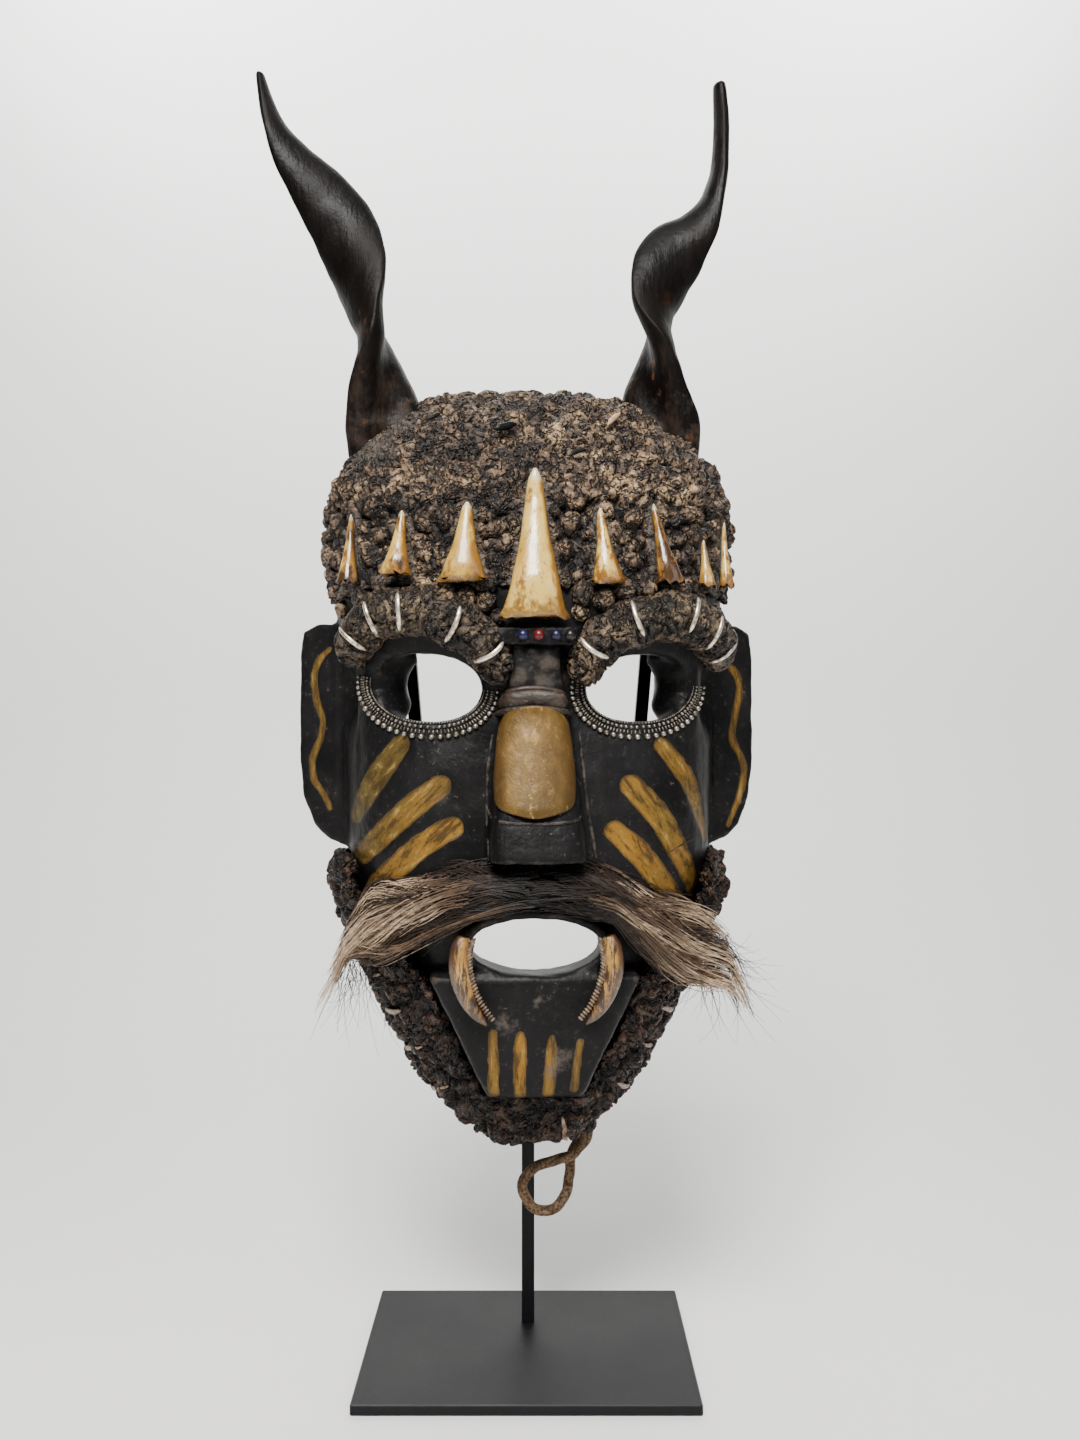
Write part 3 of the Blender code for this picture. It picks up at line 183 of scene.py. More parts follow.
# Share of a tooth's width at each share of its height
TOOTH_WIDTHS = (
    (0.00, 1.22), (0.05, 1.06), (0.14, 0.92), (0.28, 0.76), (0.50, 0.52), (0.75, 0.36), (0.92, 0.24), (1.00, 0.06),
)

# The raised lines by the nose, painted pale as highlights along its edges: side and height along each
NOSE_EDGES = (
    ((-0.0180, 0.2890), (-0.0200, 0.2720), (-0.0202, 0.2560), (-0.0196, 0.2420), (-0.0200, 0.2350)),
    ((0.0190, 0.2900), (0.0206, 0.2740), (0.0222, 0.2580), (0.0246, 0.2440), (0.0262, 0.2350)),
    ((-0.0195, 0.2612), (-0.0178, 0.2545), (-0.0010, 0.2530), (0.0160, 0.2545), (0.0185, 0.2612)),
)

# Marks on the face: the lines they follow and how thick they are
FACE_MARKS = (
    (((0.0575, 0.2380), (0.0640, 0.2412), (0.0705, 0.2432)), 0.00035),
    (((-0.0046, 0.2489), (-0.0030, 0.2489)), 0.00055),
    (((-0.0001, 0.2487), (0.0015, 0.2489)), 0.00050),
    (((0.0045, 0.2490), (0.0060, 0.2488)), 0.00055),
    (((0.0135, 0.2488), (0.0149, 0.2490)), 0.00050),
)

# Side, height and reach of the dusty places on the jaw
DUST_SPOTS = ((-0.0128, 0.1690, 0.0042), (0.0100, 0.1545, 0.0048), (0.0060, 0.1480, 0.0034), (0.0010, 0.1790, 0.0026))

# Side, height and reach of the resin at the horns' feet
HORN_FEET = ((-0.070, 0.420, 0.017), (-0.060, 0.434, 0.013), (0.064, 0.430, 0.011))

# Side, height and radius of the lumps between the teeth and the brows
FRINGE = (
    (-0.0740, 0.3485, 0.0048), (-0.0640, 0.3500, 0.0044), (-0.0470, 0.3500, 0.0050), (-0.0380, 0.3485, 0.0050),
    (-0.0290, 0.3455, 0.0046), (-0.0210, 0.3440, 0.0048), (-0.0200, 0.3520, 0.0046), (-0.0165, 0.3380, 0.0034),
    (0.0185, 0.3400, 0.0038), (0.0200, 0.3480, 0.0052), (0.0285, 0.3460, 0.0050), (0.0370, 0.3495, 0.0052),
    (0.0460, 0.3500, 0.0048), (0.0640, 0.3495, 0.0044), (0.0720, 0.3480, 0.0042), (0.0830, 0.3440, 0.0038),
    (-0.0840, 0.3440, 0.0036),
)

# Splinters caught in the crown: the line each follows, its thickness, and whether it is pale
SPLINTERS = (
    (((0.0335, 0.4262), (0.0365, 0.4302), (0.0402, 0.4342)), 0.0012, True),
    (((-0.0172, 0.4212), (-0.0120, 0.4232), (-0.0072, 0.4246)), 0.0017, False),
    (((-0.0465, 0.4295), (-0.0430, 0.4318), (-0.0405, 0.4330)), 0.0010, False),
    (((0.0150, 0.4080), (0.0185, 0.4105), (0.0222, 0.4112)), 0.0011, False),
)

# Where the rows round the lower lids start and end, in degrees
LID_ARC = (172, 356)

# Beads on the strip: node, slot and colour
NOSE_BEADS = (
    ("nose_bead_1", "blue_bead", (0.006, 0.006, 0.050)),
    ("nose_bead_2", "red_bead", (0.120, 0.004, 0.006)),
    ("nose_bead_3", "blue_bead", (0.005, 0.005, 0.036)),
    ("nose_bead_4", "dark_bead", (0.006, 0.004, 0.006)),
)

# The collar's rings: name, height, half length, thickness and half height
COLLAR_RINGS = (
    ("bridge_collar", 0.3040, 0.0140, 0.0019, 0.0036),
    ("bridge_collar_top", 0.3082, 0.0128, 0.0014, 0.0011),
    ("bridge_collar_edge", 0.2998, 0.0158, 0.0017, 0.0014),
)

# The side of the nose trim's middle, the nose plate's measures, and its half width at each share of its drop
NOSE_MIDDLE = -0.0010
PLATE_TOP = 0.2985
PLATE_DROP = 0.0420
PLATE_ARCH = 0.0022
PLATE_THICKNESS = 0.0012
PLATE_WIDTHS = (
    (0.00, 0.0104), (0.04, 0.0124), (0.15, 0.0146), (0.40, 0.0160), (0.70, 0.0168), (0.86, 0.0164), (0.94, 0.0146),
    (0.98, 0.0116), (1.00, 0.0082),
)

# The tusks' middle line and the line of their inner row, as side and height, and how full they are along it
TUSK_DEPTH = -0.0722
TUSK_HALF_WIDTH = 0.0045
TUSK_HALF_DEPTH = 0.0046
TUSK_ROUTE = (
    (0.0300, 0.2060), (0.0316, 0.1990), (0.0314, 0.1910), (0.0292, 0.1830), (0.0254, 0.1755), (0.0205, 0.1695),
)
TUSK_ROW = (
    (0.0264, 0.2045), (0.0275, 0.1985), (0.0273, 0.1920), (0.0252, 0.1845), (0.0218, 0.1775), (0.0180, 0.1725),
)
TUSK_WIDTHS = ((0.0, 0.55), (0.12, 0.88), (0.35, 1.0), (0.65, 0.86), (0.88, 0.50), (1.0, 0.10))

# The moustache's upper and lower edge, how far out its roll reaches on each side, and its highest place in front
MOUSTACHE_TOP = (
    (-0.0800, 0.2060), (-0.0685, 0.2225), (-0.0492, 0.2290), (-0.0200, 0.2330), (0.0, 0.2345), (0.0237, 0.2325),
    (0.0362, 0.2285), (0.0580, 0.2190), (0.0790, 0.2095), (0.0870, 0.2030),
)
MOUSTACHE_BASE = (
    (-0.0800, 0.1920), (-0.0680, 0.1915), (-0.0574, 0.1960), (-0.0467, 0.2015), (-0.0249, 0.2100), (0.0, 0.2150),
    (0.0300, 0.2130), (0.0421, 0.2020), (0.0547, 0.1910), (0.0700, 0.1830), (0.0870, 0.1800),
)
MOUSTACHE_HOLD = {-1: 0.0800, 1: 0.0860}
MOUSTACHE_CEILING = 0.2335

# Loose hairs: which side, where they start, how many, and the lowest and highest heading in degrees
WISPS = ((-1, -0.0790, 0.1930, 60, -125, -62), (1, 0.0830, 0.1920, 110, -95, -20))
WISP_ROOM = (-0.134, 0.118)
WISP_RADIUS = 0.00016

# Side, height and lean in degrees of the quills in the beard
QUILLS = (
    (-0.0830, 0.1960, -20), (-0.0755, 0.1800, -28), (-0.0660, 0.1640, -32), (-0.0560, 0.1480, -38),
    (-0.0440, 0.1300, -45), (0.0440, 0.1300, 45), (0.0560, 0.1480, 38), (0.0650, 0.1640, 34), (0.0740, 0.1790, 28),
    (0.0140, 0.1150, 80),
)
QUILL_LENGTH = 0.020

# Lights: place, target, size, power and colour
LAMPS = (
    ("key_light", (-0.12, -1.00, 1.30), (0.0, 0.0, 0.30), 0.55, 50.0, (1.0, 0.98, 0.95)),
    ("fill_light", (0.95, -0.85, 0.75), (0.0, 0.0, 0.30), 0.6, 2.5, (0.97, 0.98, 1.0)),
    ("top_light", (0.0, -0.25, 1.60), (0.0, -0.45, 0.0), 0.5, 3.0, (1.0, 1.0, 1.0)),
    ("backdrop_left", (-0.45, 0.36, 1.25), (-0.12, 0.76, 1.22), 0.4, 9.0, (0.98, 0.99, 1.0)),
    ("backdrop_right", (0.45, 0.36, 1.25), (0.12, 0.76, 1.22), 0.4, 9.0, (0.98, 0.99, 1.0)),
)

# The camera: its place, and its focal length and rise in points of a picture of this height
CAMERA_PLACE = (0.0058, -0.5975, 0.2876)
PICTURE_HEIGHT = 1440
FOCAL_POINTS = 1277
RISE_POINTS = 18
SENSOR_HEIGHT = 36.0


# ---------------------------------------------------------------- sizes and colours


def length_setting(name, description, default, least, most):
    """A length that a user may change."""
    return bpy.props.FloatProperty(
        name=name, description=description, default=default, min=least, max=most, unit="LENGTH"
    )


def colour_setting(name, description, default):
    """A colour that a user may change."""
    return bpy.props.FloatVectorProperty(
        name=name, description=description, subtype="COLOR", default=default, min=0.0, max=1.0
    )


class MaskSizes(bpy.types.PropertyGroup):
    """Sizes of the finer relief that a user would change."""

    wood_grain: length_setting("Wood voxel", "Spacing of the carved surface's points", 0.00166, 0.0012, 0.004)
    stroke_depth: length_setting("Stroke depth", "How deep the painted strokes are cut", 0.0008, 0.0, 0.002)
    crust_lump: length_setting("Crust lump", "Width of one lump of the crust", 0.0088, 0.004, 0.02)
    crust_height: length_setting(
        "Crust height", "How far the lumps stand out of the creases between them", 0.0036, 0.0, 0.008
    )
    hair_count: bpy.props.IntProperty(
        name="Moustache hairs", description="Number of hairs in the moustache", default=2600, min=100, max=4000
    )
    hair_radius: length_setting("Hair radius", "Radius of one hair of the moustache", 0.00022, 0.0001, 0.001)
    bead_radius: length_setting(
        "Bead radius", "Radius of the outer row of beads round the lower lids", 0.00122, 0.0006, 0.002
    )


class MaskColours(bpy.types.PropertyGroup):
    """Main colours of the pieces."""

    wood: colour_setting("Wood", "Blackened wood", (0.0036, 0.0034, 0.0036))
    ochre: colour_setting("Ochre", "Paint of the strokes", (0.165, 0.098, 0.019))
    horn: colour_setting("Horn", "Black brown of the horns", (0.0026, 0.0019, 0.0016))
    crust: colour_setting("Crust", "Tops of the crust's lumps", (0.200, 0.130, 0.074))
    ivory: colour_setting("Ivory", "Pale part of the teeth", (0.60, 0.405, 0.100))
    gold: colour_setting("Gold", "Plate over the nose", (0.128, 0.071, 0.014))
    steel: colour_setting("Steel", "Coating of the stand", (0.0030, 0.0033, 0.0041))


def sizes():
    """The sizes as they are set in this scene."""
    return bpy.context.scene.mask_sizes


def colours():
    """The colours as they are set in this scene."""
    return bpy.context.scene.mask_colours


# ---------------------------------------------------------------- materials


class Finish:
    """One material, built node by node."""

    def __init__(self, name):
        self.material = bpy.data.materials.new(name)
        self.material.use_nodes = True
        self.tree = self.material.node_tree
        self.shader = self.tree.nodes["Principled BSDF"]
        self.place = self.add("ShaderNodeTexCoord").outputs["Object"]

    def add(self, kind, **settings):
        """A new node with its settings."""
        node = self.tree.nodes.new(kind)
        for key, value in settings.items():
            setattr(node, key, value)
        return node

    def put(self, socket, value):
        """Links a socket into another, or sets its value."""
        if isinstance(value, bpy.types.NodeSocket):
            self.tree.links.new(value, socket)
        elif isinstance(value, (tuple, list, Vector)) and socket.type == "RGBA":
            socket.default_value = (*value[:3], 1.0)
        else:
            socket.default_value = value

    def stretched(self, scale, turn=(0.0, 0.0, 0.0)):
        """The place, turned first and then scaled along each axis."""
        turned = self.add("ShaderNodeMapping")
        self.put(turned.inputs["Vector"], self.place)
        turned.inputs["Rotation"].default_value = turn
        node = self.add("ShaderNodeMapping")
        self.put(node.inputs["Vector"], turned.outputs["Vector"])
        node.inputs["Scale"].default_value = scale
        return node.outputs["Vector"]

    def bent(self, scale, reach):
        """The place, pushed about by a noise of the given scale, by up to half the reach."""
        drift = self.add("ShaderNodeTexNoise")
        self.put(drift.inputs["Vector"], self.place)
        drift.inputs["Scale"].default_value = scale
        node = self.add("ShaderNodeVectorMath", operation="MULTIPLY_ADD")
        self.put(node.inputs[0], drift.outputs["Color"])
        node.inputs[1].default_value = (reach, reach, reach)
        self.put(node.inputs[2], self.place)
        return node.outputs["Vector"]

    def noise(self, scale, detail, rough, vector=None):
        """Cloudy noise at the place, or at another vector."""
        node = self.add("ShaderNodeTexNoise")
        self.put(node.inputs["Vector"], vector or self.place)
        node.inputs["Scale"].default_value = scale
        node.inputs["Detail"].default_value = detail
        node.inputs["Roughness"].default_value = rough
        return node.outputs["Fac"]

    def attribute(self, name):
        """A value that the piece holds at each of its points."""
        return self.add("ShaderNodeAttribute", attribute_name=name).outputs["Fac"]

    def sum(self, kind, first, second=0.0):
        """The result of one kind of sum."""
        node = self.add("ShaderNodeMath", operation=kind)
        self.put(node.inputs[0], first)
        self.put(node.inputs[1], second)
        return node.outputs[0]

    def plus(self, first, second):
        """Both values together."""
        return self.sum("ADD", first, second)

    def times(self, first, second):
        """One value by the other."""
        return self.sum("MULTIPLY", first, second)

    def steps(self, value, low, high, out_low=0.0, out_high=1.0):
        """Goes smoothly from one output to the other while the value goes from low to high."""
        node = self.add("ShaderNodeMapRange", interpolation_type="SMOOTHSTEP")
        self.put(node.inputs["Value"], value)
        for socket, number in zip(("From Min", "From Max", "To Min", "To Max"), (low, high, out_low, out_high)):
            node.inputs[socket].default_value = number
        return node.outputs["Result"]

    def mix(self, share, first, second):
        """The first colour, and the second by its share."""
        node = self.add("ShaderNodeMix", data_type="RGBA")
        self.put(node.inputs[0], share)
        self.put(node.inputs[6], first)
        self.put(node.inputs[7], second)
        return node.outputs[2]

    def over(self, colour, value, low, high, tone, share=1.0):
        """Lays a tone over a colour, up to a share of it, as the value goes from low to high."""
        return self.mix(self.steps(value, low, high, 0.0, share), colour, tone)

    def ramp(self, value, *stops):
        """A colour that goes through stops, each a place and a colour."""
        node = self.add("ShaderNodeValToRGB")
        self.put(node.inputs["Fac"], value)
        points = node.color_ramp.elements
        while len(points) < len(stops):
            points.new(0.5)
        for point, (place, colour) in zip(points, stops):
            point.position = place
            point.color = (*colour, 1.0)
        return node.outputs["Color"]

    def bump(self, height, distance, strength, under=None):
        """Fine relief, laid over other relief if there is some."""
        node = self.add("ShaderNodeBump")
        node.inputs["Strength"].default_value = strength
        node.inputs["Distance"].default_value = distance
        self.put(node.inputs["Height"], height)
        if under:
            self.put(node.inputs["Normal"], under)
        return node.outputs["Normal"]

    def done(self, colour, rough, normal=None, metal=0.0, specular=0.5, coat=0.0):
        """Joins everything to the shader and hands over the material."""
        self.put(self.shader.inputs["Base Color"], colour)
        self.put(self.shader.inputs["Roughness"], rough)
        self.put(self.shader.inputs["Metallic"], metal)
        self.shader.inputs["Specular IOR Level"].default_value = specular
        self.shader.inputs["Coat Weight"].default_value = coat
        if normal:
            self.put(self.shader.inputs["Normal"], normal)
        return self.material


def tinted(colour, share):
    """A colour made darker or brighter."""
    return tuple(channel * share for channel in colour)


def wood_finish(painted=True):
    """Blackened wood with thin worn edges, dust and, where it is painted, ochre strokes."""
    made = Finish("blackened_wood" if painted else "plain_black_wood")
    wood = tuple(colours().wood)
    streaks = made.noise(60, 5, 0.6, made.stretched((2.2, 2.2, 0.35)))
    patches = made.noise(28, 4, 0.6)
    dust = made.noise(150, 6, 0.7)
    base = made.mix(made.steps(patches, 0.35, 0.72), wood, tinted(wood, 2.0))
    base = made.over(base, streaks, 0.54, 0.78, (0.012, 0.010, 0.0095), 0.5)
    dusty = made.times(made.steps(dust, 0.54, 0.72), made.steps(patches, 0.45, 0.7))
    base = made.mix(made.times(dusty, 0.5), base, (0.030, 0.025, 0.022))
    flecks = made.times(made.steps(made.noise(520, 3, 0.7), 0.60, 0.71), made.steps(dust, 0.45, 0.65))
    base = made.mix(made.times(flecks, 0.7), base, (0.11, 0.092, 0.075))
    worn = made.plus(made.attribute("wear"), made.steps(dust, 0.3, 0.7, -0.45, 0.15))
    base = made.over(base, worn, 0.30, 0.95, (0.055, 0.044, 0.036), 0.75)
    rough = made.steps(patches, 0.3, 0.7, 0.36, 0.54)
    grain = made.bump(streaks, 0.0010, 0.5)
    pits = made.bump(made.noise(420, 3, 0.6), 0.0005, 0.5, grain)
    if not painted:
        return made.done(base, rough, pits, specular=0.13)
    ochre = tuple(colours().ochre)
    wavy = made.steps(made.noise(170, 3, 0.5), 0.2, 0.8, -0.40, 0.40)
    cover = made.steps(made.plus(made.attribute("stroke"), wavy), -0.10, 0.22)
    left, right, upright = (
        made.noise(190, 6, 0.75, made.stretched((1.7, 1.0, 0.30), (0.0, turn, 0.0))) for turn in (-0.80, 0.62, 0.0)
    )
    side = made.steps(made.attribute("side"), 0.45, 0.55)
    streak = made.mix(made.attribute("upright"), made.mix(side, left, right), upright)
    mottle = made.noise(330, 5, 0.75)
    cool = made.mix(made.steps(patches, 0.3, 0.7), (0.036, 0.027, 0.0090), (0.085, 0.060, 0.016))
    warm = made.mix(made.steps(patches, 0.3, 0.7), ochre, (0.25, 0.115, 0.014))
    paint = made.mix(made.attribute("warmth"), cool, warm)
    paint = made.over(paint, streak, 0.48, 0.60, (0.034, 0.021, 0.008), 0.85)
    paint = made.over(paint, streak, 0.45, 0.34, (0.30, 0.205, 0.065), 0.75)
    paint = made.over(paint, mottle, 0.55, 0.68, (0.060, 0.036, 0.011), 0.6)
    inner = made.steps(made.attribute("stroke"), 0.2, 1.5)
    paint = made.mix(inner, made.mix(0.75, paint, (0.040, 0.026, 0.010)), paint)
    colour = made.mix(cover, base, paint)
    powder = made.plus(made.attribute("dust"), made.steps(made.noise(300, 5, 0.7), 0.30, 0.70, -0.75, 0.30))
    colour = made.over(colour, powder, 0.0, 1.1, (0.090, 0.074, 0.062), 0.6)
    return made.done(colour, rough, pits, specular=0.13)


def pale_line_and_highlight_finish():
    """Pale grey wood for thin marks: a painted highlight on the raised lines by the nose, and the own grey of the crack
    and the specks.
    """
    made = Finish("pale_marks_and_painted_highlights")
    dust = made.noise(260, 6, 0.7)
    # Pale grey: painted highlight on the raised lines by the nose, the own grey of the crack and specks
    colour = made.mix(made.steps(dust, 0.40, 0.62), (0.010, 0.009, 0.008), (0.060, 0.050, 0.042))
    return made.done(colour, made.steps(dust, 0.3, 0.7, 0.4, 0.6), made.bump(dust, 0.0005, 0.5), specular=0.15)


def horn_finish():
    """Black brown horn, brown and rusty low down, dusty with resin at the foot."""
    made = Finish("twisted_horn")
    horn = tuple(colours().horn)
    fibres = made.noise(70, 6, 0.65, made.stretched((1.6, 1.6, 0.30)))
    patches = made.noise(38, 5, 0.6)
    base = made.mix(made.steps(patches, 0.4, 0.7), horn, tinted(horn, 2.0))
    base = made.over(base, fibres, 0.55, 0.75, (0.012, 0.007, 0.0055), 0.5)
    low = made.steps(made.attribute("rise"), 0.20, 0.50, 1.0, 0.0)
    rust = made.times(low, made.steps(made.noise(95, 6, 0.7), 0.57, 0.68))
    base = made.mix(made.times(rust, 0.8), base, (0.150, 0.045, 0.010))
    brown = made.times(low, made.steps(made.noise(60, 6, 0.7, made.stretched((1, 1, 0.4))), 0.50, 0.66))
    base = made.mix(made.times(brown, 0.45), base, (0.040, 0.025, 0.017))
    resin = made.plus(made.attribute("foot"), made.steps(made.noise(95, 6, 0.7), 0.3, 0.7, -0.85, 0.15))
    base = made.over(base, resin, 0.50, 0.95, (0.042, 0.034, 0.029), 0.4)
    base = made.over(base, made.attribute("chip"), 0.3, 0.7, (0.22, 0.19, 0.16))
    rough = made.steps(patches, 0.3, 0.7, 0.34, 0.54)
    bump = made.bump(fibres, 0.0014, 0.6)
    return made.done(base, rough, made.bump(made.noise(300, 4, 0.6), 0.0006, 0.5, bump), specular=0.10)


def crust_finish(name, tone=1.0, pale=1.0, warmth=1.0):
    """Curly ridges of hair and resin, tan to brown, with painted shade turning the cracks between them and the creases
    between lumps black.
    """
    made = Finish(name)
    crust = tuple(colours().crust)
    bent = made.bent(240, 0.0036)
    curls = made.noise(225, 2, 0.5, bent)
    ridge = made.sum("ABSOLUTE", made.sum("SUBTRACT", curls, 0.5))
    fine = made.noise(760, 4, 0.75)
    shade = made.noise(125, 4, 0.7)
    patches = made.noise(30, 4, 0.6)
    value = made.plus(made.steps(shade, 0.33, 0.67, 0.0, 0.62), made.steps(patches, 0.32, 0.68, -0.12, 0.26))
    value = made.plus(value, made.steps(fine, 0.35, 0.70, -0.12, 0.22))
    tops = made.ramp(
        value,
        (0.10, tinted((0.016 * warmth, 0.011, 0.0085), tone)),
        (0.38, tinted((0.078 * warmth, 0.051, 0.034), tone)),
        (0.64, (crust[0] * tone * warmth, crust[1] * tone, crust[2] * tone)),
        (0.96, tinted((0.51 * warmth, 0.36, 0.21), tone * pale)),
    )
    # Painted shade: the grooves between the curly ridges go near black
    colour = made.mix(made.steps(ridge, 0.006, 0.058), (0.0050, 0.0037, 0.0031), tops)
    # Painted shade: the creases between lumps, their lower flanks and the grooves between curls go near black
    hollow = made.steps(made.attribute("crevice"), 0.25, 0.90, 0.0, 0.97)
    colour = made.mix(hollow, colour, (0.0045, 0.0034, 0.0029))
    smear = made.plus(made.attribute("smear"), made.steps(made.noise(190, 5, 0.7), 0.3, 0.7, -0.35, 0.25))
    resin = made.mix(made.steps(fine, 0.35, 0.65), (0.022, 0.018, 0.016), (0.115, 0.095, 0.078))
    colour = made.over(colour, smear, 0.45, 0.85, resin, 0.85)
    height = made.plus(made.steps(ridge, 0.0, 0.10), made.times(fine, 0.40))
    rough = made.steps(fine, 0.4, 0.7, 0.40, 0.66)
    return made.done(colour, rough, made.bump(height, 0.0016, 1.0), specular=0.32)


def ivory_finish():
    """Polished tooth, pale along its ridge, stained golden and brown towards its base, and darker on its right-facing
    side by painted shade broken up with stain.
    """
    made = Finish("stained_ivory")
    ivory = tuple(colours().ivory)
    stain = made.noise(75, 5, 0.6, made.stretched((1.3, 1.3, 0.5)))
    spots = made.noise(230, 5, 0.7)
    brown = made.attribute("stain")
    golden = made.mix(made.steps(stain, 0.40, 0.62), ivory, (0.44, 0.255, 0.040))
    # Painted shade on the faces that turn to the right, broken up by stain noise
    side = made.plus(made.attribute("side"), made.steps(stain, 0.3, 0.7, -0.25, 0.35))
    colour = made.mix(made.steps(side, 0.15, 0.75), golden, (0.200, 0.092, 0.012))
    low = made.plus(made.attribute("base"), made.steps(spots, 0.3, 0.7, -0.3, 0.3))
    colour = made.over(colour, low, 0.60, 1.05, (0.115, 0.048, 0.010), 0.8)
    blots = made.steps(made.noise(130, 5, 0.7, made.stretched((1.4, 1.4, 0.6))), 0.3, 0.7, -0.6, 0.5)
    dirty = made.plus(brown, blots)
    colour = made.over(colour, dirty, 0.25, 0.70, (0.175, 0.070, 0.010), 0.9)
    colour = made.over(colour, dirty, 0.72, 1.05, (0.030, 0.014, 0.007), 0.9)
    colour = made.over(colour, spots, 0.58, 0.70, (0.15, 0.065, 0.014), 0.6)
    colour = made.over(colour, made.attribute("tip"), 0.4, 0.9, (0.66, 0.57, 0.36), 0.6)
    bump = made.bump(stain, 0.0014, 0.5)
    fine = made.bump(spots, 0.0005, 0.35, bump)
    return made.done(colour, made.steps(stain, 0.3, 0.7, 0.18, 0.34), fine, coat=0.4)


def tusk_finish():
    """Golden ivory crescent with dark brown streaks and painted shade on the side that faces outwards."""
    made = Finish("streaked_tusk")
    streaks = made.noise(230, 6, 0.75, made.stretched((1.6, 1.0, 0.30)))
    patches = made.noise(75, 4, 0.6)
    colour = made.mix(made.steps(patches, 0.35, 0.65), (0.44, 0.255, 0.070), (0.21, 0.098, 0.022))
    colour = made.over(colour, streaks, 0.44, 0.55, (0.028, 0.013, 0.007))
    # Painted shade: darker on the side that faces outwards
    colour = made.over(colour, made.attribute("side"), 0.10, 0.70, (0.048, 0.021, 0.009), 0.85)
    colour = made.over(colour, made.attribute("tip"), 0.3, 0.9, (0.045, 0.026, 0.016), 0.8)
    return made.done(colour, made.steps(streaks, 0.3, 0.7, 0.22, 0.42), made.bump(streaks, 0.0010, 0.6), coat=0.3)


def gold_finish():
    """Aged brass coloured plate, mottled, pale in rubbed scratches, with a painted highlight down its middle and
    painted shade darkening its sides.
    """
    made = Finish("mottled_gold")
    gold = tuple(colours().gold)
    patches = made.noise(95, 6, 0.65, made.stretched((1.0, 1.0, 0.7)))
    scratches = made.noise(330, 5, 0.7, made.stretched((1.0, 1.0, 0.6), (0.0, 0.5, 0.0)))
    colour = made.mix(made.steps(patches, 0.36, 0.66), tinted(gold, 0.55), gold)
    colour = made.over(colour, scratches, 0.58, 0.70, (0.40, 0.25, 0.085), 0.6)
    # Painted highlight: paler patches down the middle of the domed plate
    middle = made.sum("SUBTRACT", made.steps(patches, 0.50, 0.70), made.attribute("side"))
    colour = made.over(colour, middle, 0.10, 0.9, (0.36, 0.215, 0.070), 0.5)
    # Painted shade: darker towards both sides of the domed plate
    colour = made.over(colour, made.attribute("side"), 0.50, 1.0, (0.045, 0.021, 0.005), 0.85)
    rough = made.steps(scratches, 0.3, 0.7, 0.36, 0.58)
    bump = made.bump(scratches, 0.0006, 0.45)
    return made.done(colour, rough, made.bump(patches, 0.0010, 0.35, bump), metal=0.25, specular=0.3)


def silver_finish(name, tone):
    """Silver coloured metal, bright and brown in patches."""
    made = Finish(name)
    spots = made.noise(420, 4, 0.6)
    bright = tinted((0.60, 0.545, 0.460), tone)
    colour = made.mix(made.steps(spots, 0.44, 0.68), bright, tinted((0.15, 0.105, 0.068), tone))
    rough = made.steps(spots, 0.3, 0.7, 0.26, 0.48)
    return made.done(colour, rough, made.bump(spots, 0.0003, 0.3), metal=0.85)


def glass_finish(name, colour):
    """Cloudy glass of one colour."""
    made = Finish(name)
    cloud = made.noise(600, 3, 0.5)
    shade = made.mix(made.steps(cloud, 0.35, 0.65), colour, tinted(colour, 0.45))
    return made.done(shade, made.steps(cloud, 0.3, 0.7, 0.30, 0.42), made.bump(cloud, 0.0001, 0.2), specular=0.5)


def hair_finish(name, root, tip):
    """Hairs of one tone, darker at the root than at the tip, each a little unlike the next."""
    made = Finish(name)
    fibres = made.noise(620, 3, 0.6, made.stretched((0.35, 1.0, 1.0)))
    patches = made.noise(75, 4, 0.6)
    colour = made.mix(made.steps(made.attribute("along"), 0.15, 0.75), root, tip)
    colour = made.over(colour, fibres, 0.35, 0.65, tinted(root, 0.7), 0.6)
    colour = made.over(colour, patches, 0.48, 0.70, tinted(root, 0.6), 0.6)
    return made.done(colour, made.steps(fibres, 0.3, 0.7, 0.38, 0.55), made.bump(fibres, 0.0003, 0.3), specular=0.3)


def cord_finish():
    """Twisted brown plant fibre, with painted shade in the grooves between its strands."""
    made = Finish("plant_fibre")
    fibres = made.noise(800, 5, 0.7)
    patches = made.noise(110, 4, 0.6)
    colour = made.mix(made.steps(fibres, 0.36, 0.64), (0.075, 0.042, 0.023), (0.23, 0.150, 0.088))
    colour = made.over(colour, patches, 0.45, 0.7, (0.045, 0.026, 0.015), 0.6)
    # Painted shade in the grooves between the strands
    colour = made.mix(made.attribute("crevice"), colour, (0.018, 0.010, 0.006))
    return made.done(colour, made.steps(fibres, 0.3, 0.7, 0.7, 0.9), made.bump(fibres, 0.0009, 0.9), specular=0.15)


def steel_finish():
    """Dark grey powder coat with a soft sheen."""
    made = Finish("dark_satin_steel")
    steel = tuple(colours().steel)
    speckle = made.noise(900, 3, 0.6)
    cloud = made.noise(14, 3, 0.5)
    colour = made.mix(made.steps(cloud, 0.35, 0.65), steel, tinted(steel, 1.25))
    rough = made.steps(made.plus(made.times(speckle, 0.4), cloud), 0.4, 1.0, 0.42, 0.52)
    return made.done(colour, rough, made.bump(speckle, 0.00012, 0.35), specular=0.20)


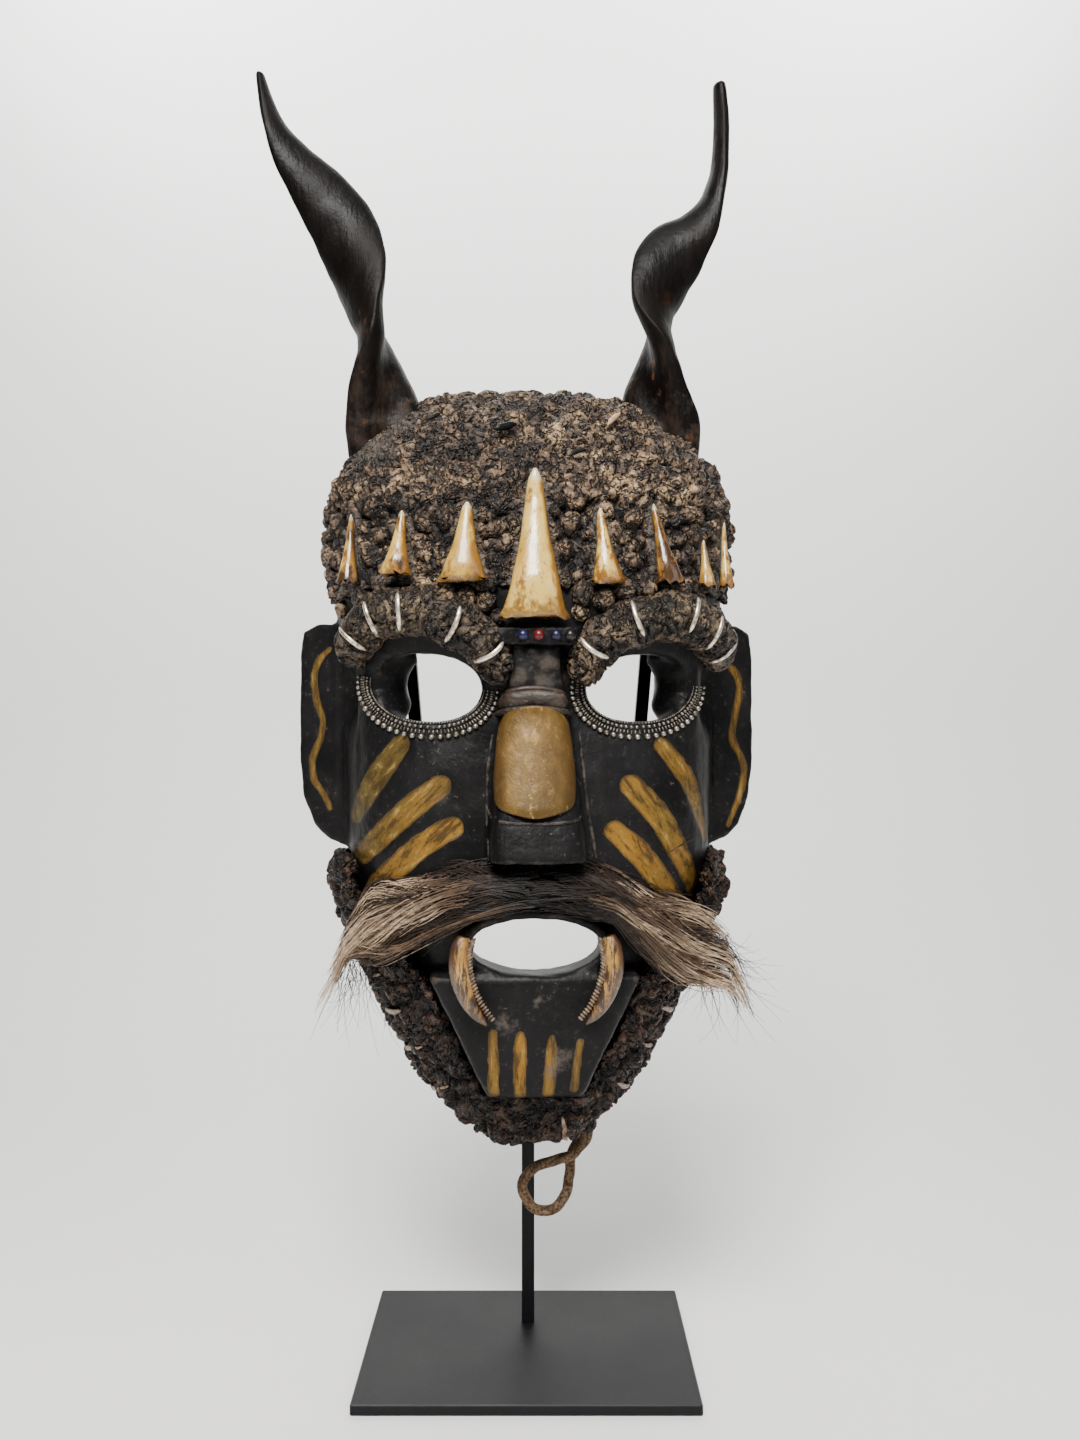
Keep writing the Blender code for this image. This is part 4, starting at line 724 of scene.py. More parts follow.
def quill_finish(name, tone):
    """Brown and tan bands of split quill."""
    made = Finish(name)
    bands = made.noise(380, 4, 0.6)
    tan, brown = tinted((0.19, 0.125, 0.074), tone), tinted((0.050, 0.030, 0.018), tone * tone)
    colour = made.mix(made.steps(bands, 0.40, 0.60), tan, brown)
    return made.done(colour, made.steps(bands, 0.3, 0.7, 0.35, 0.6), made.bump(bands, 0.0004, 0.4))


def leather_finish():
    """Dark brown grey worn leather."""
    made = Finish("worn_leather")
    creases = made.noise(240, 6, 0.7, made.stretched((0.5, 1.0, 1.6)))
    colour = made.mix(made.steps(creases, 0.36, 0.62), (0.052, 0.034, 0.025), (0.012, 0.009, 0.007))
    colour = made.over(colour, made.noise(500, 4, 0.7), 0.58, 0.70, (0.13, 0.096, 0.072), 0.7)
    return made.done(colour, made.steps(creases, 0.3, 0.7, 0.35, 0.6), made.bump(creases, 0.0008, 0.6), specular=0.3)


def floor_finish():
    """Pale paper, very faintly clouded."""
    made = Finish("pale_paper")
    paper = (0.86, 0.86, 0.85)
    cloud = made.noise(1.3, 3, 0.5)
    return made.done(made.mix(made.steps(cloud, 0.3, 0.7), paper, tinted(paper, 0.97)), 0.75, specular=0.2)


# ---------------------------------------------------------------- shapes


def smooth_route(points, count):
    """Points at equal steps along a smooth curve through a route's own points."""
    points = [Vector(point) for point in points]
    fine = []
    for i in range(len(points) - 1):
        a = points[max(0, i - 1)]
        b, c = points[i], points[i + 1]
        d = points[min(len(points) - 1, i + 2)]
        for k in range(16):
            t = k / 16
            fine.append(
                0.5 * (2 * b + (c - a) * t + (2 * a - 5 * b + 4 * c - d) * t * t + (3 * b - a - 3 * c + d) * t**3)
            )
    fine.append(points[-1])
    run = [0.0]
    for a, b in zip(fine, fine[1:]):
        run.append(run[-1] + (b - a).length)
    placed = []
    i = 0
    for k in range(count):
        wanted = run[-1] * k / (count - 1)
        while i < len(fine) - 2 and run[i + 1] < wanted:
            i += 1
        placed.append(fine[i].lerp(fine[i + 1], (wanted - run[i]) / max(run[i + 1] - run[i], 1e-9)))
    return placed


def route_length(points):
    """The length of a line through points."""
    return sum((b - a).length for a, b in zip(points, points[1:]))


def key_value(keys, place, column):
    """The value at a place along sorted keys, on a smooth curve through them."""
    last = len(keys) - 1
    i = max(0, min(last - 1, sum(key[0] <= place for key in keys) - 1))

    def rate(k):
        before = (keys[k][column] - keys[max(k - 1, 0)][column]) / max(keys[k][0] - keys[max(k - 1, 0)][0], 1e-9)
        after = (keys[min(k + 1, last)][column] - keys[k][column]) / max(keys[min(k + 1, last)][0] - keys[k][0], 1e-9)
        if k in (0, last):
            return before + after
        return 0.0 if before * after <= 0 else 2 * before * after / (before + after)

    x0, x1 = keys[i][0], keys[i + 1][0]
    y0, y1 = keys[i][column], keys[i + 1][column]
    width = x1 - x0
    t = max(0.0, min(1.0, (place - x0) / width))
    return (
        y0 * (1 + 2 * t) * (1 - t) ** 2
        + rate(i) * width * t * (1 - t) ** 2
        + y1 * t * t * (3 - 2 * t)
        + rate(i + 1) * width * t * t * (t - 1)
    )


def taper_sockets(points, normals, local):
    """How far each point moves sideways, so that each eye hole narrows towards its back on its outer side."""
    shift = np.zeros(len(points))
    for side in (-1, 1):
        away = side * local[:, 0] - EYE_SIDE
        rise = local[:, 2] - EYE_HEIGHT
        spread = np.hypot(away / EYE_HALF_WIDTH, rise / EYE_HALF_HEIGHT)
        near = 1 - smoothstep(spread, 1.05, 2.1)
        rim = on_face(side * (EYE_SIDE + EYE_HALF_WIDTH + 0.003), EYE_HEIGHT)
        rim_depth = to_mask(np.array(rim))[1]
        behind = smoothstep(local[:, 1], rim_depth - 0.006, rim_depth + 0.004)
        inner = smoothstep(normals[:, 1], -0.60, -0.15)
        outward = smoothstep(0.95 * away / EYE_HALF_WIDTH + 0.45 * rise / EYE_HALF_HEIGHT, -0.25, 0.75)
        open_side = local[:, 1] < 0.0
        shift -= side * SOCKET_TAPER * near * behind * inner * outward * open_side
    return shift


def add_object(name, data):
    """A new object in the scene, at the origin."""
    obj = bpy.data.objects.new(name, data)
    bpy.context.scene.collection.objects.link(obj)
    return obj


def piece_from(bm, name, finish):
    """A finished piece from a bmesh."""
    mesh = bpy.data.meshes.new(name)
    bm.to_mesh(mesh)
    bm.free()
    return piece_of(mesh, name, finish)


def piece_of(mesh, name, finish):
    """A finished piece from a mesh, which rides on the mask's one body."""
    mesh.shade_smooth()
    mesh.materials.clear()
    mesh.materials.append(finish)
    obj = add_object(name, mesh)
    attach(obj, "root")
    return obj


def fine_copy(node, voxel, smoothing):
    """The node's form in an even fine mesh that carving can push about."""
    bm = bmesh.new()
    bm.from_mesh(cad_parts[node].data)
    bmesh.ops.remove_doubles(bm, verts=bm.verts, dist=1e-6)
    mesh = bpy.data.meshes.new(f"{node}_fine")
    bm.to_mesh(mesh)
    bm.free()
    obj = add_object(f"{node}_fine", mesh)
    remesh = obj.modifiers.new("even", "REMESH")
    remesh.mode = "VOXEL"
    remesh.voxel_size = voxel
    soften = obj.modifiers.new("soften", "SMOOTH")
    soften.factor = 0.5
    soften.iterations = smoothing
    graph = bpy.context.evaluated_depsgraph_get()
    fine = bpy.data.meshes.new_from_object(obj.evaluated_get(graph))
    bpy.data.objects.remove(obj)
    bpy.data.meshes.remove(mesh)
    return fine


def points_of(mesh):
    """The mesh's points, one row each."""
    co = np.empty(len(mesh.vertices) * 3)
    mesh.vertices.foreach_get("co", co)
    return co.reshape(-1, 3)


def normals_of(mesh):
    """The way out of the surface at each point."""
    normals = np.empty(len(mesh.vertices) * 3)
    mesh.vertex_normals.foreach_get("vector", normals)
    return normals.reshape(-1, 3)


def set_points(mesh, points):
    """Moves the mesh's points."""
    mesh.vertices.foreach_set("co", points.reshape(-1))
    mesh.update()


def set_values(mesh, **attributes):
    """Gives each point a value, or all points the same one, for the finishes to read."""
    for name, values in attributes.items():
        layer = mesh.attributes.new(name, "FLOAT", "POINT")
        layer.data.foreach_set("value", np.full(len(mesh.vertices), values, np.float32))


def edges_of(mesh):
    """The two points of each edge."""
    ends = np.empty(len(mesh.edges) * 2, np.int64)
    mesh.edges.foreach_get("vertices", ends)
    return ends.reshape(-1, 2)


def neighbour_mean(values, ends):
    """Each point's mean over its neighbours."""
    total = np.zeros_like(values)
    count = np.zeros(len(values))
    for a, b in ((0, 1), (1, 0)):
        np.add.at(total, ends[:, a], values[ends[:, b]])
        np.add.at(count, ends[:, a], 1)
    return total / (count[:, None] if values.ndim > 1 else count)


def convexity(mesh, reach):
    """How far each point stands out of its surroundings, in millimetres."""
    points, ends = points_of(mesh), edges_of(mesh)
    flat = points
    for _ in range(reach):
        flat = neighbour_mean(flat, ends)
    return ((points - flat) * normals_of(mesh)).sum(1) * 1000


def soften_values(values, ends, times):
    """Evens out values over neighbouring points."""
    for _ in range(times):
        values = 0.5 * values + 0.5 * neighbour_mean(values, ends)
    return values


def to_mask(points):
    """World points in the mask's own frame."""
    back = np.array(MASK_FRAME.inverted())
    return points @ back[:3, :3].T + back[:3, 3]


def stroke_field(x, z):
    """Signed distance into the nearest stroke in millimetres, and that stroke's warmth."""
    best = np.full(len(x), -9.0)
    warmth = np.zeros(len(x))
    for keys, warm in STROKES:
        route = smooth_route(keys, 9 if len(keys) < 5 else 37)
        for a, b in zip(route, route[1:]):
            along = ((x - a.x) * (b.x - a.x) + (z - a.y) * (b.y - a.y)) / ((b.x - a.x) ** 2 + (b.y - a.y) ** 2)
            along = np.clip(along, 0, 1)
            away = np.hypot(x - a.x - along * (b.x - a.x), z - a.y - along * (b.y - a.y))
            inside = (a.z + along * (b.z - a.z) - away) * 1000
            nearer = inside > best
            best = np.where(nearer, inside, best)
            warmth = np.where(nearer, warm, warmth)
    return best, warmth


def smoothstep(value, low, high):
    """Goes smoothly from 0 to 1 while the value goes from low to high."""
    t = np.clip((value - low) / (high - low), 0, 1)
    return t * t * (3 - 2 * t)


def noise_at(points, scale, seed):
    """Smooth noise from minus one to one at each point."""
    shift = Vector((seed * 17.3, seed * 5.1, seed * 9.7))
    return np.array([noise.noise(Vector(point) * scale + shift) for point in points])


def cells_at(points, scale, seed):
    """Distances to the nearest and the second nearest of scattered cell centres, in cell widths."""
    shift = Vector((seed * 3.7, seed * 11.1, seed * 7.9))
    return np.array([noise.voronoi(Vector(point) * scale + shift)[0][:2] for point in points])


def curls_at(points, scale, seed):
    """Curly ridges: 1 along the top of a ridge and 0 in the groove between two."""
    warp = np.stack([noise_at(points, scale * 0.75, seed + 40 + k) for k in range(3)], 1) * (0.9 / scale)
    return smoothstep(np.abs(noise_at(points + warp, scale, seed)), 0.0, 0.20)


def surface_of(*nodes):
    """A search tree of some CAD nodes' surfaces."""
    bm = bmesh.new()
    for node in nodes:
        bm.from_mesh(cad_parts[node].data)
    tree = BVHTree.FromBMesh(bm)
    bm.free()
    return tree


FACE = surface_of("mask_body")


def front_of(tree, x, height):
    """The first world point of a surface at a side and a height, seen from the front, or nothing beside it."""
    return tree.ray_cast(MASK_FRAME @ Vector((x, -FAR, height)), INTO_FACE)[0]


def depth_at(tree, x, height):
    """How deep that point lies in the mask's own frame, or nothing beside the surface."""
    hit = front_of(tree, x, height)
    return None if hit is None else to_mask(np.array(hit))[1]


def on_face(x, height, lift=0.0):
    """The world point on the front of the mask at a side and a height, lifted off it."""
    point = front_of(FACE, x, height)
    if point is None:
        raise RuntimeError(f"nothing in front at {x:.4f}, {height:.4f}")
    return point - INTO_FACE * lift


def face_route(pairs, count, lift, tree=FACE):
    """A smooth route over the front, through pairs of side and height. Over a hole it keeps the nearest depth."""
    flat = smooth_route([(x, height, 0.0) for x, height in pairs], count)
    depths = [depth_at(tree, p.x, p.y) for p in flat]
    found = [i for i, depth in enumerate(depths) if depth is not None]
    if not found:
        raise RuntimeError("the route lies outside the face")
    held = [depths[min(found, key=lambda k: abs(k - i))] - lift for i in range(count)]
    for _ in range(3):
        held = [held[0]] + [(a + 2 * b + c) / 4 for a, b, c in zip(held, held[1:], held[2:])] + [held[-1]]
    return [MASK_FRAME @ Vector((p.x, depth, p.y)) for p, depth in zip(flat, held)]


def grow_ring(bm, ring):
    """Extrudes a ring of points and returns the new ring in the same order."""
    held = set(ring)
    edges = dict.fromkeys(e for v in ring for e in v.link_edges if e.verts[0] in held and e.verts[1] in held)
    grown = bmesh.ops.extrude_edge_only(bm, edges=list(edges))["geom"]
    fresh = {v for v in grown if isinstance(v, bmesh.types.BMVert)}
    return [next(e.other_vert(v) for e in v.link_edges if e.other_vert(v) in fresh) for v in ring]


def cap_ends(bm, first, last):
    """Closes a tube at both ends and turns its faces outwards."""
    bmesh.ops.contextual_create(bm, geom=first)
    bmesh.ops.contextual_create(bm, geom=last)
    tidy_normals(bm)


def sweep(bm, route, shape, sides, up=-INTO_FACE):
    """Extrudes a ring along a route; shape gives (across, along up) of a ring's corner from its share and its angle."""
    ring = first = bmesh.ops.create_circle(bm, segments=sides, radius=1.0)["verts"]
    last = len(route) - 1
    for i, point in enumerate(route):
        if i:
            ring = grow_ring(bm, ring)
        ahead = (route[min(i + 1, last)] - route[max(i - 1, 0)]).normalized()
        side = ahead.cross(up).normalized()
        top = side.cross(ahead).normalized()
        for k, vert in enumerate(ring):
            across, high = shape(i / last, math.tau * k / sides)
            vert.co = point + side * across + top * high
    cap_ends(bm, first, ring)


def tapered(wide, high, blunt, rate):
    """A shape for sweep: full in the middle, and narrower towards both ends, where a blunt share of it is left."""

    def shape(share, angle):
        fill = min(1.0, blunt + rate * min(share, 1 - share))
        return wide * fill * math.cos(angle), high * fill * math.sin(angle)

    return shape


def add_ball(bm, detail, radius, move):
    """A ball of one radius, or of a size that the move gives."""
    return bmesh.ops.create_icosphere(bm, subdivisions=detail, radius=radius, matrix=move)["verts"]


def tidy_normals(bm):
    """Turns all faces outwards."""
    bmesh.ops.recalc_face_normals(bm, faces=bm.faces)


# ---------------------------------------------------------------- pieces


def make_wood():
    """The carved face: worn edges, cut strokes, flutes by the ears and eye holes that narrow inwards."""
    mesh = fine_copy("mask_body", sizes().wood_grain * (1.0), 3)
    points, normals, ends = points_of(mesh), normals_of(mesh), edges_of(mesh)
    local = to_mask(points)
    x, z = local[:, 0], local[:, 2]
    side = np.abs(x)
    front = smoothstep(-normals[:, 1], 0.15, 0.5)
    stroke, warmth = stroke_field(x, z)
    stroke = np.where(front > 0.01, stroke, -9.0)
    depth = -sizes().stroke_depth * smoothstep(stroke, -0.5, 1.2)
    flutes = 0.0007 * np.cos((side - 0.084) / 0.0032 * math.pi) * smoothstep(side, 0.074, 0.080)
    flutes *= 1 - smoothstep(side, 0.088, 0.092)
    flutes *= smoothstep(z, 0.250, 0.262) * (1 - smoothstep(z, 0.320, 0.335))
    rough = 0.00035 * noise_at(points, 90, 1) + 0.0002 * noise_at(points, 260, 2)
    shift = soften_values(taper_sockets(points, normals, local), ends, 10)
    across = np.array(MASK_FRAME.to_3x3() @ Vector((1.0, 0.0, 0.0)))
    points = points + normals * (depth + flutes * front + rough)[:, None]
    set_points(mesh, points)
    wear = np.clip((convexity(mesh, 3) - 0.22) / 0.50, 0, 1) * front
    bridge = smoothstep(z, 0.306, 0.311) * (1 - smoothstep(z, 0.320, 0.325))
    bridge *= 1 - smoothstep(np.abs(x + 0.001), 0.013, 0.019)
    wear = np.maximum(wear, bridge * (0.60 + 0.9 * np.abs(noise_at(points, 110, 31))) * front)
    set_points(mesh, points + shift[:, None] * across)
    powder = sum(np.exp(-((x - spot_x) ** 2 + (z - spot_z) ** 2) / reach**2) for spot_x, spot_z, reach in DUST_SPOTS)
    set_values(
        mesh,
        wear=soften_values(wear, ends, 1),
        stroke=stroke,
        side=x > 0,
        upright=(z < 0.172) | (side > 0.088),
        dust=powder * front,
        warmth=soften_values(warmth, ends, 2),
    )
    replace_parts(piece_of(mesh, "carved_face", wood_finish()), "mask_body")
    make_nose_edges()


def make_nose_edges():
    """Thin raised lines by the nose and over its block, painted pale as highlights, a crack over one cheek, and specks
    on the block.
    """
    bm = bmesh.new()
    for pairs in NOSE_EDGES:
        sweep(bm, face_route(pairs, 40, 0.0001), tapered(0.00075, 0.00060, 0.25, 6), 8)
    for pairs, radius in FACE_MARKS:
        sweep(bm, face_route(pairs, 9, 0.0001), tapered(radius, radius * 0.7, 0.3, 3), 8)
    piece_from(bm, "carved_nose_edges", pale_line_and_highlight_finish())


def smear_field(x, z):
    """Where grey resin lies smooth over the crust: beside the teeth and at the horns' feet."""
    field = np.zeros(len(x))
    for tip_side, base_side, low, high, width, _, _ in TEETH.values():
        along = np.clip((z - low) / (high - low), -0.1, 1.05)
        middle = base_side + (tip_side - base_side) * along
        half = width * 0.5 * np.interp(along, *zip(*TOOTH_WIDTHS))
        beside = 1 - smoothstep(np.abs(x - middle) - half, 0.0006, 0.0036)
        held = smoothstep(z, low - 0.006, low - 0.002) * (1 - smoothstep(z, high, high + 0.004))
        field = np.maximum(field, beside * held)
    for centre_x, centre_z, reach in HORN_FEET:
        away = np.hypot(x - centre_x, z - centre_z)
        field = np.maximum(field, 0.8 * (1 - smoothstep(away, reach * 0.45, reach)))
    return field


def horn_mesh(keys):
    """A twisted blade with a sharp edge, a ridge, a hollow side and a rounded tip."""
    stations, sides = ((150, 32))
    low, high = keys[0][0], keys[-1][0]
    step, round_tip = 0.002, 0.0026
    bm = bmesh.new()
    ring = bottom = bmesh.ops.create_circle(bm, segments=sides, radius=1.0)["verts"]
    for k in range(stations):
        height = low + (high - low) * (1 - (1 - k / (stations - 1)) ** 1.3)
        x, y, wide, thick, turn = (key_value(keys, height, column) for column in range(1, 6))
        drift = [key_value(keys, height + step, column) - key_value(keys, height - step, column) for column in (1, 2)]
        ahead = Vector((*drift, 2 * step)).normalized()
        across = (Vector((1, 0, 0)) - ahead * ahead.x).normalized()
        turned = math.radians(turn)
        major = across * math.cos(turned) + ahead.cross(across) * math.sin(turned)
        minor = ahead.cross(major)
        rounded = math.sqrt(max(0.02, 1 - max(0.0, (height - high + round_tip) / round_tip) ** 2))
        if k:
            ring = grow_ring(bm, ring)
        for i, vert in enumerate(ring):
            angle = math.tau * i / sides
            cos, sin = math.cos(angle), math.sin(angle)
            a = HORN_WIDTH / 2 * wide * cos * rounded
            b = HORN_THICKNESS / 2 * thick * math.copysign(abs(sin) ** 1.35, sin) * rounded
            if b < 0:
                b *= 1 - 0.55 * math.exp(-((cos / 0.55) ** 2))
            local = Vector((x, y, height)) + major * a + minor * b
            wave = noise.noise(Vector((local.x * 40, local.y * 40, height * 130))) * 0.0006 * wide
            local += (major * cos + minor * sin) * wave
            vert.co = MASK_FRAME @ local
    cap_ends(bm, bottom, ring)
    return bm


def make_horns():
    """The two twisted horns."""
    finish = horn_finish()
    for node, keys in (("left_horn", LEFT_HORN), ("right_horn", RIGHT_HORN)):
        obj = piece_from(horn_mesh(keys), f"{node}_blade", finish)
        points = points_of(obj.data)
        set_values(
            obj.data,
            rise=(points[:, 2] - keys[0][0]) / (keys[-1][0] - keys[0][0]),
            foot=1 - smoothstep(points[:, 2], 0.440, 0.470),
            chip=(points[:, 2] > 0.5985) & (points[:, 0] > 0.0935),
        )
        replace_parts(obj, node)


def lump_crust(node, name, voxel, lump, height, finish, seed, row_below=0.0):
    """A crust of lumps with deep creases, curly ridges on every lump, and higher lumps below a row's height."""
    mesh = fine_copy(node, voxel * (1.0), 4)
    points, normals = points_of(mesh), normals_of(mesh)
    local = to_mask(points)
    in_row, smear = np.zeros(len(points)), np.zeros(len(points))
    amount = np.full(len(points), height)
    if row_below:
        in_row = 1 - smoothstep(local[:, 2], row_below - 0.004, row_below + 0.006)
        smear = smear_field(local[:, 0], local[:, 2]) * (normals[:, 1] < 0.2)
        amount *= 0.62 + 0.90 * in_row
    warp = np.stack([noise_at(points, 95, seed + k) for k in range(3)], 1) * 0.0050
    cells = cells_at(points + warp * (1 - 0.7 * in_row)[:, None], 1 / lump, seed)
    dome = np.sqrt(np.clip(1 - (cells[:, 0] / 0.74) ** 2, 0, 1))
    crease = 1 - smoothstep(cells[:, 1] - cells[:, 0], 0.02, 0.34)
    curls = curls_at(points, 205, seed + 5)
    out = amount * (dome - 0.62) - amount * 0.40 * crease
    out = out + 0.0024 * (curls - 0.6) * (1 - 0.4 * in_row)
    out = out + 0.0024 * noise_at(points, 75, seed + 13) * (1 - in_row) + 0.0003 * noise_at(points, 700, seed + 9)
    out = out * (1 - 0.8 * smear) - 0.0010 * smear
    out *= 1 - 0.75 * smoothstep(normals[:, 1], -0.10, 0.45)
    set_points(mesh, points + normals * out[:, None])
    # How dark the painted shade is: in the creases between lumps, on the lumps' lower flanks and in the grooves between
    # curls, none under smooth resin
    deep = (crease * (0.80 + 0.25 * in_row) + (0.60 - dome) * 0.9) * np.clip(amount / height - 0.15, 0.20, 1.0)
    hollow = np.clip(deep + (0.62 - curls) * (1.25 - 0.6 * in_row), 0, 1) * (1 - smear)
    set_values(mesh, crevice=hollow, smear=soften_values(smear, edges_of(mesh), 1))
    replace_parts(piece_of(mesh, name, finish), node)


def crinkle(bm, centre, radius, seed):
    """One lump of curly grains, built from a fine ball."""
    for vert in add_ball(bm, 4, radius, Matrix.Translation(centre)):
        way = (vert.co - centre).normalized()
        near = noise.voronoi(vert.co / 0.0026 + Vector((seed, 0, 0)))[0][0]
        swell = noise.noise(vert.co * 160 + Vector((0, seed, 0)))
        vert.co += way * (0.0013 * (0.45 - near) + 0.0016 * swell)


def make_fringe(finish):
    """The lumps between the teeth and the brows."""
    bm = bmesh.new()
    for number, (x, z, radius) in enumerate(FRINGE):
        crinkle(bm, on_face(x, z, 0.0012), radius, number)
    mesh = piece_from(bm, "crown_fringe", finish).data
    # Painted shade in the hollows between the grains
    set_values(mesh, crevice=np.clip(0.25 - convexity(mesh, 2) * 3.0, 0, 1), smear=0.0)


def make_crusts():
    """The crown and beard of hair and resin, the lumps over the brows, and the splinters caught in the crown."""
    crown = crust_finish("crown_hair_and_resin")
    beard = crust_finish("beard_hair_and_resin", 0.24, 0.5, 1.25)
    lump, height = sizes().crust_lump, sizes().crust_height
    lump_crust("crown_crust", "crown_lumps", 0.00098, lump, height, crown, 3, 0.388)
    lump_crust("beard_crust", "beard_lumps", 0.00105, lump * 1.15, height, beard, 8)
    make_fringe(crown)
    tree = surface_of("crown_crust")
    kinds = ((True, "pale_splinter", quill_finish("pale_splinter", 2.6)), (False, "dark_splinters", wood_finish(False)))
    for pale, name, finish in kinds:
        bm = bmesh.new()
        for pairs, radius, is_pale in SPLINTERS:
            if is_pale == pale:
                sweep(bm, face_route(pairs, 16, 0.0042, tree), tapered(radius, radius * 0.7, 0.25, 3), 8)
        set_values(piece_from(bm, name, finish).data, wear=0.0)


def brow_line(side, count):
    """The middle line of one brow, half sunk into the face."""
    points = [on_face(x, z) - INTO_FACE * BROW_RADIUS * 0.50 for x, z in BROW_ROUTE[side]]
    return smooth_route(points, count)


def brow_radius(share):
    """The roll's radius along its length: thinner towards both ends, which are round."""
    body = 0.72 + 0.28 * math.sin(math.pi * min(1.0, 0.12 + share * 0.86)) + 0.03 * math.sin(share * 40)
    nearest = min(share, 1 - share) / 0.085
    return BROW_RADIUS * body * (math.sqrt(max(0.0, 1 - (1 - nearest) ** 2)) if nearest < 1 else 1.0)


def make_brows():
    """Rolls of fibre and resin over the eyes, each held by flat bands."""
    finish = crust_finish("brow_fibre", 0.66, 0.80, 0.95)
    bright = silver_finish("brow_silver", 1.40)
    stations, sides = ((230, 72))

    def shape(share, angle):
        radius = max(0.0004, brow_radius(share))
        return radius * math.cos(angle), radius * math.sin(angle)

    for side, word in ((-1, "left"), (1, "right")):
        bm = bmesh.new()
        sweep(bm, brow_line(side, stations), shape, sides)
        obj = piece_from(bm, f"{word}_brow_roll", finish)
        points, normals = points_of(obj.data), normals_of(obj.data)
        curls = curls_at(points, 200, 9 + side)
        out = 0.0019 * (curls - 0.6) + 0.0018 * noise_at(points, 120, 3 + side) + 0.0003 * noise_at(points, 800, 6)
        set_points(obj.data, points + normals * out[:, None])
        # Painted shade in the grooves between the curls
        set_values(obj.data, crevice=np.clip((0.70 - curls) * 1.25, 0, 1), smear=0.0)
        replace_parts(obj, f"{word}_brow")
        line = brow_line(side, BAND_STEPS + 1)
        for number, place in enumerate(BROW_BANDS):
            node = f"{word}_brow_band_{number + 1}"
            obj = piece_from(band_mesh(line, place, side), f"{node}_wire", bright)
            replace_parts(obj, node)


def band_mesh(line, place, side):
    """A narrow strip bent over the front of the brow, rounded at both ends."""
    at = round(place * BAND_STEPS)
    ahead = (line[min(BAND_STEPS, at + 5)] - line[max(0, at - 5)]).normalized()
    out = (-INTO_FACE - ahead * (-INTO_FACE).dot(ahead)).normalized()
    across = ahead.cross(out)
    radius = brow_radius(place) + 0.0012
    lean = 0.14 * math.sin(place * 23 + side)
    route = []
    for k in range(29):
        angle = math.radians(-46 + 92 * k / 28 + 8 * math.sin(place * 31))
        spoke = out * math.cos(angle) + across * math.sin(angle)
        bow = 0.22 * math.cos(angle * 1.5)
        route.append(line[at] + spoke * radius + ahead * radius * (lean * math.sin(angle) + bow))

    def shape(share, angle):
        fill = math.sqrt(min(1.0, 0.10 + 6.0 * min(share, 1 - share)))
        return 0.00108 * fill * math.cos(angle), 0.00078 * fill * math.sin(angle)

    bm = bmesh.new()
    sweep(bm, route, shape, 10, out)
    return bm


def tooth_fronts(node, route, low, high):
    """How deep the tooth's solid lies along its middle line, evened out."""
    tree = surface_of(node)
    fronts = []
    for x, z, _ in route:
        depth = depth_at(tree, x, min(max(z, low + 0.001), high - 0.0022))
        fronts.append(fronts[-1] if depth is None else depth)
    return np.convolve(np.pad(fronts, 4, mode="edge"), np.ones(9) / 9, mode="valid")


def make_teeth():
    """Curved ivory cones with flared feet."""
    finish = ivory_finish()
    sides, stations = 30, 54
    for number, (node, (tip_x, base_x, low, high, width, deep, stain)) in enumerate(TEETH.items()):
        shares = [k / (stations - 1) for k in range(stations)]
        route = [(base_x + (tip_x - base_x) * t, low + (high - low) * t, t) for t in shares]
        fronts = tooth_fronts(node, route, low, high)
        bm = bmesh.new()
        ring = bottom = bmesh.ops.create_circle(bm, segments=sides, radius=1.0)["verts"]
        for k, (x, z, t) in enumerate(route):
            if k:
                ring = grow_ring(bm, ring)
            full = key_value(TOOTH_WIDTHS, t, 1)
            half = width * 0.5 * full
            thick = deep * 0.52 * (0.35 + 0.65 * full) * min(1.0, full * 3)
            for i, vert in enumerate(ring):
                cos, sin = math.cos(math.tau * i / sides), math.sin(math.tau * i / sides)
                ragged = noise.noise(Vector((cos * 3, sin * 3, number * 7.0))) * 0.0034 * (1 - t) ** 6
                dent = 1 + 0.05 * noise.noise(Vector((cos * 1.5, t * 5, number * 3.0)))
                swell = math.copysign(abs(sin) ** 0.85, sin) * dent
                place = Vector((x + half * cos * dent, fronts[k] - 0.0004 + thick * (1 - swell), z + ragged))
                vert.co = MASK_FRAME @ place
        cap_ends(bm, bottom, ring)
        obj = piece_from(bm, f"{node}_ivory", finish)
        points, normals = points_of(obj.data), normals_of(obj.data)
        rise = (points[:, 2] - low) / (high - low)
        set_values(
            obj.data,
            base=1 - smoothstep(rise, 0.0, 0.30),
            tip=smoothstep(rise, 0.80, 1.0),
            # side: painted shade on the faces that turn to the right
            side=np.clip(normals[:, 0], 0, 1) ** 1.2,
            stain=stain,
        )
        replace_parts(obj, node)


def lid_points(side, spread, count, lift):
    """Points round the lower lid, outside the eye hole by a spread."""
    start, end = LID_ARC
    found = []
    for k in range(count):
        turn = math.radians(start + (end - start) * k / (count - 1))
        cos, sin = math.cos(turn), math.sin(turn)
        x = (EYE_HALF_WIDTH + spread) * math.copysign(abs(cos) ** 0.9, cos)
        z = (EYE_HALF_HEIGHT + spread) * sin + 0.05 * x * side
        found.append(on_face(side * EYE_SIDE + x, EYE_HEIGHT + z, lift))
    return found


def add_link(bm, start, end, radius):
    """A short wire between two points."""
    way = end - start
    turn = Vector((0, 0, 1)).rotation_difference(way.normalized()).to_matrix().to_4x4()
    move = Matrix.Translation((start + end) / 2) @ turn
    bmesh.ops.create_cone(
        bm, cap_ends=True, segments=6, radius1=radius, radius2=radius, depth=way.length, matrix=move
    )


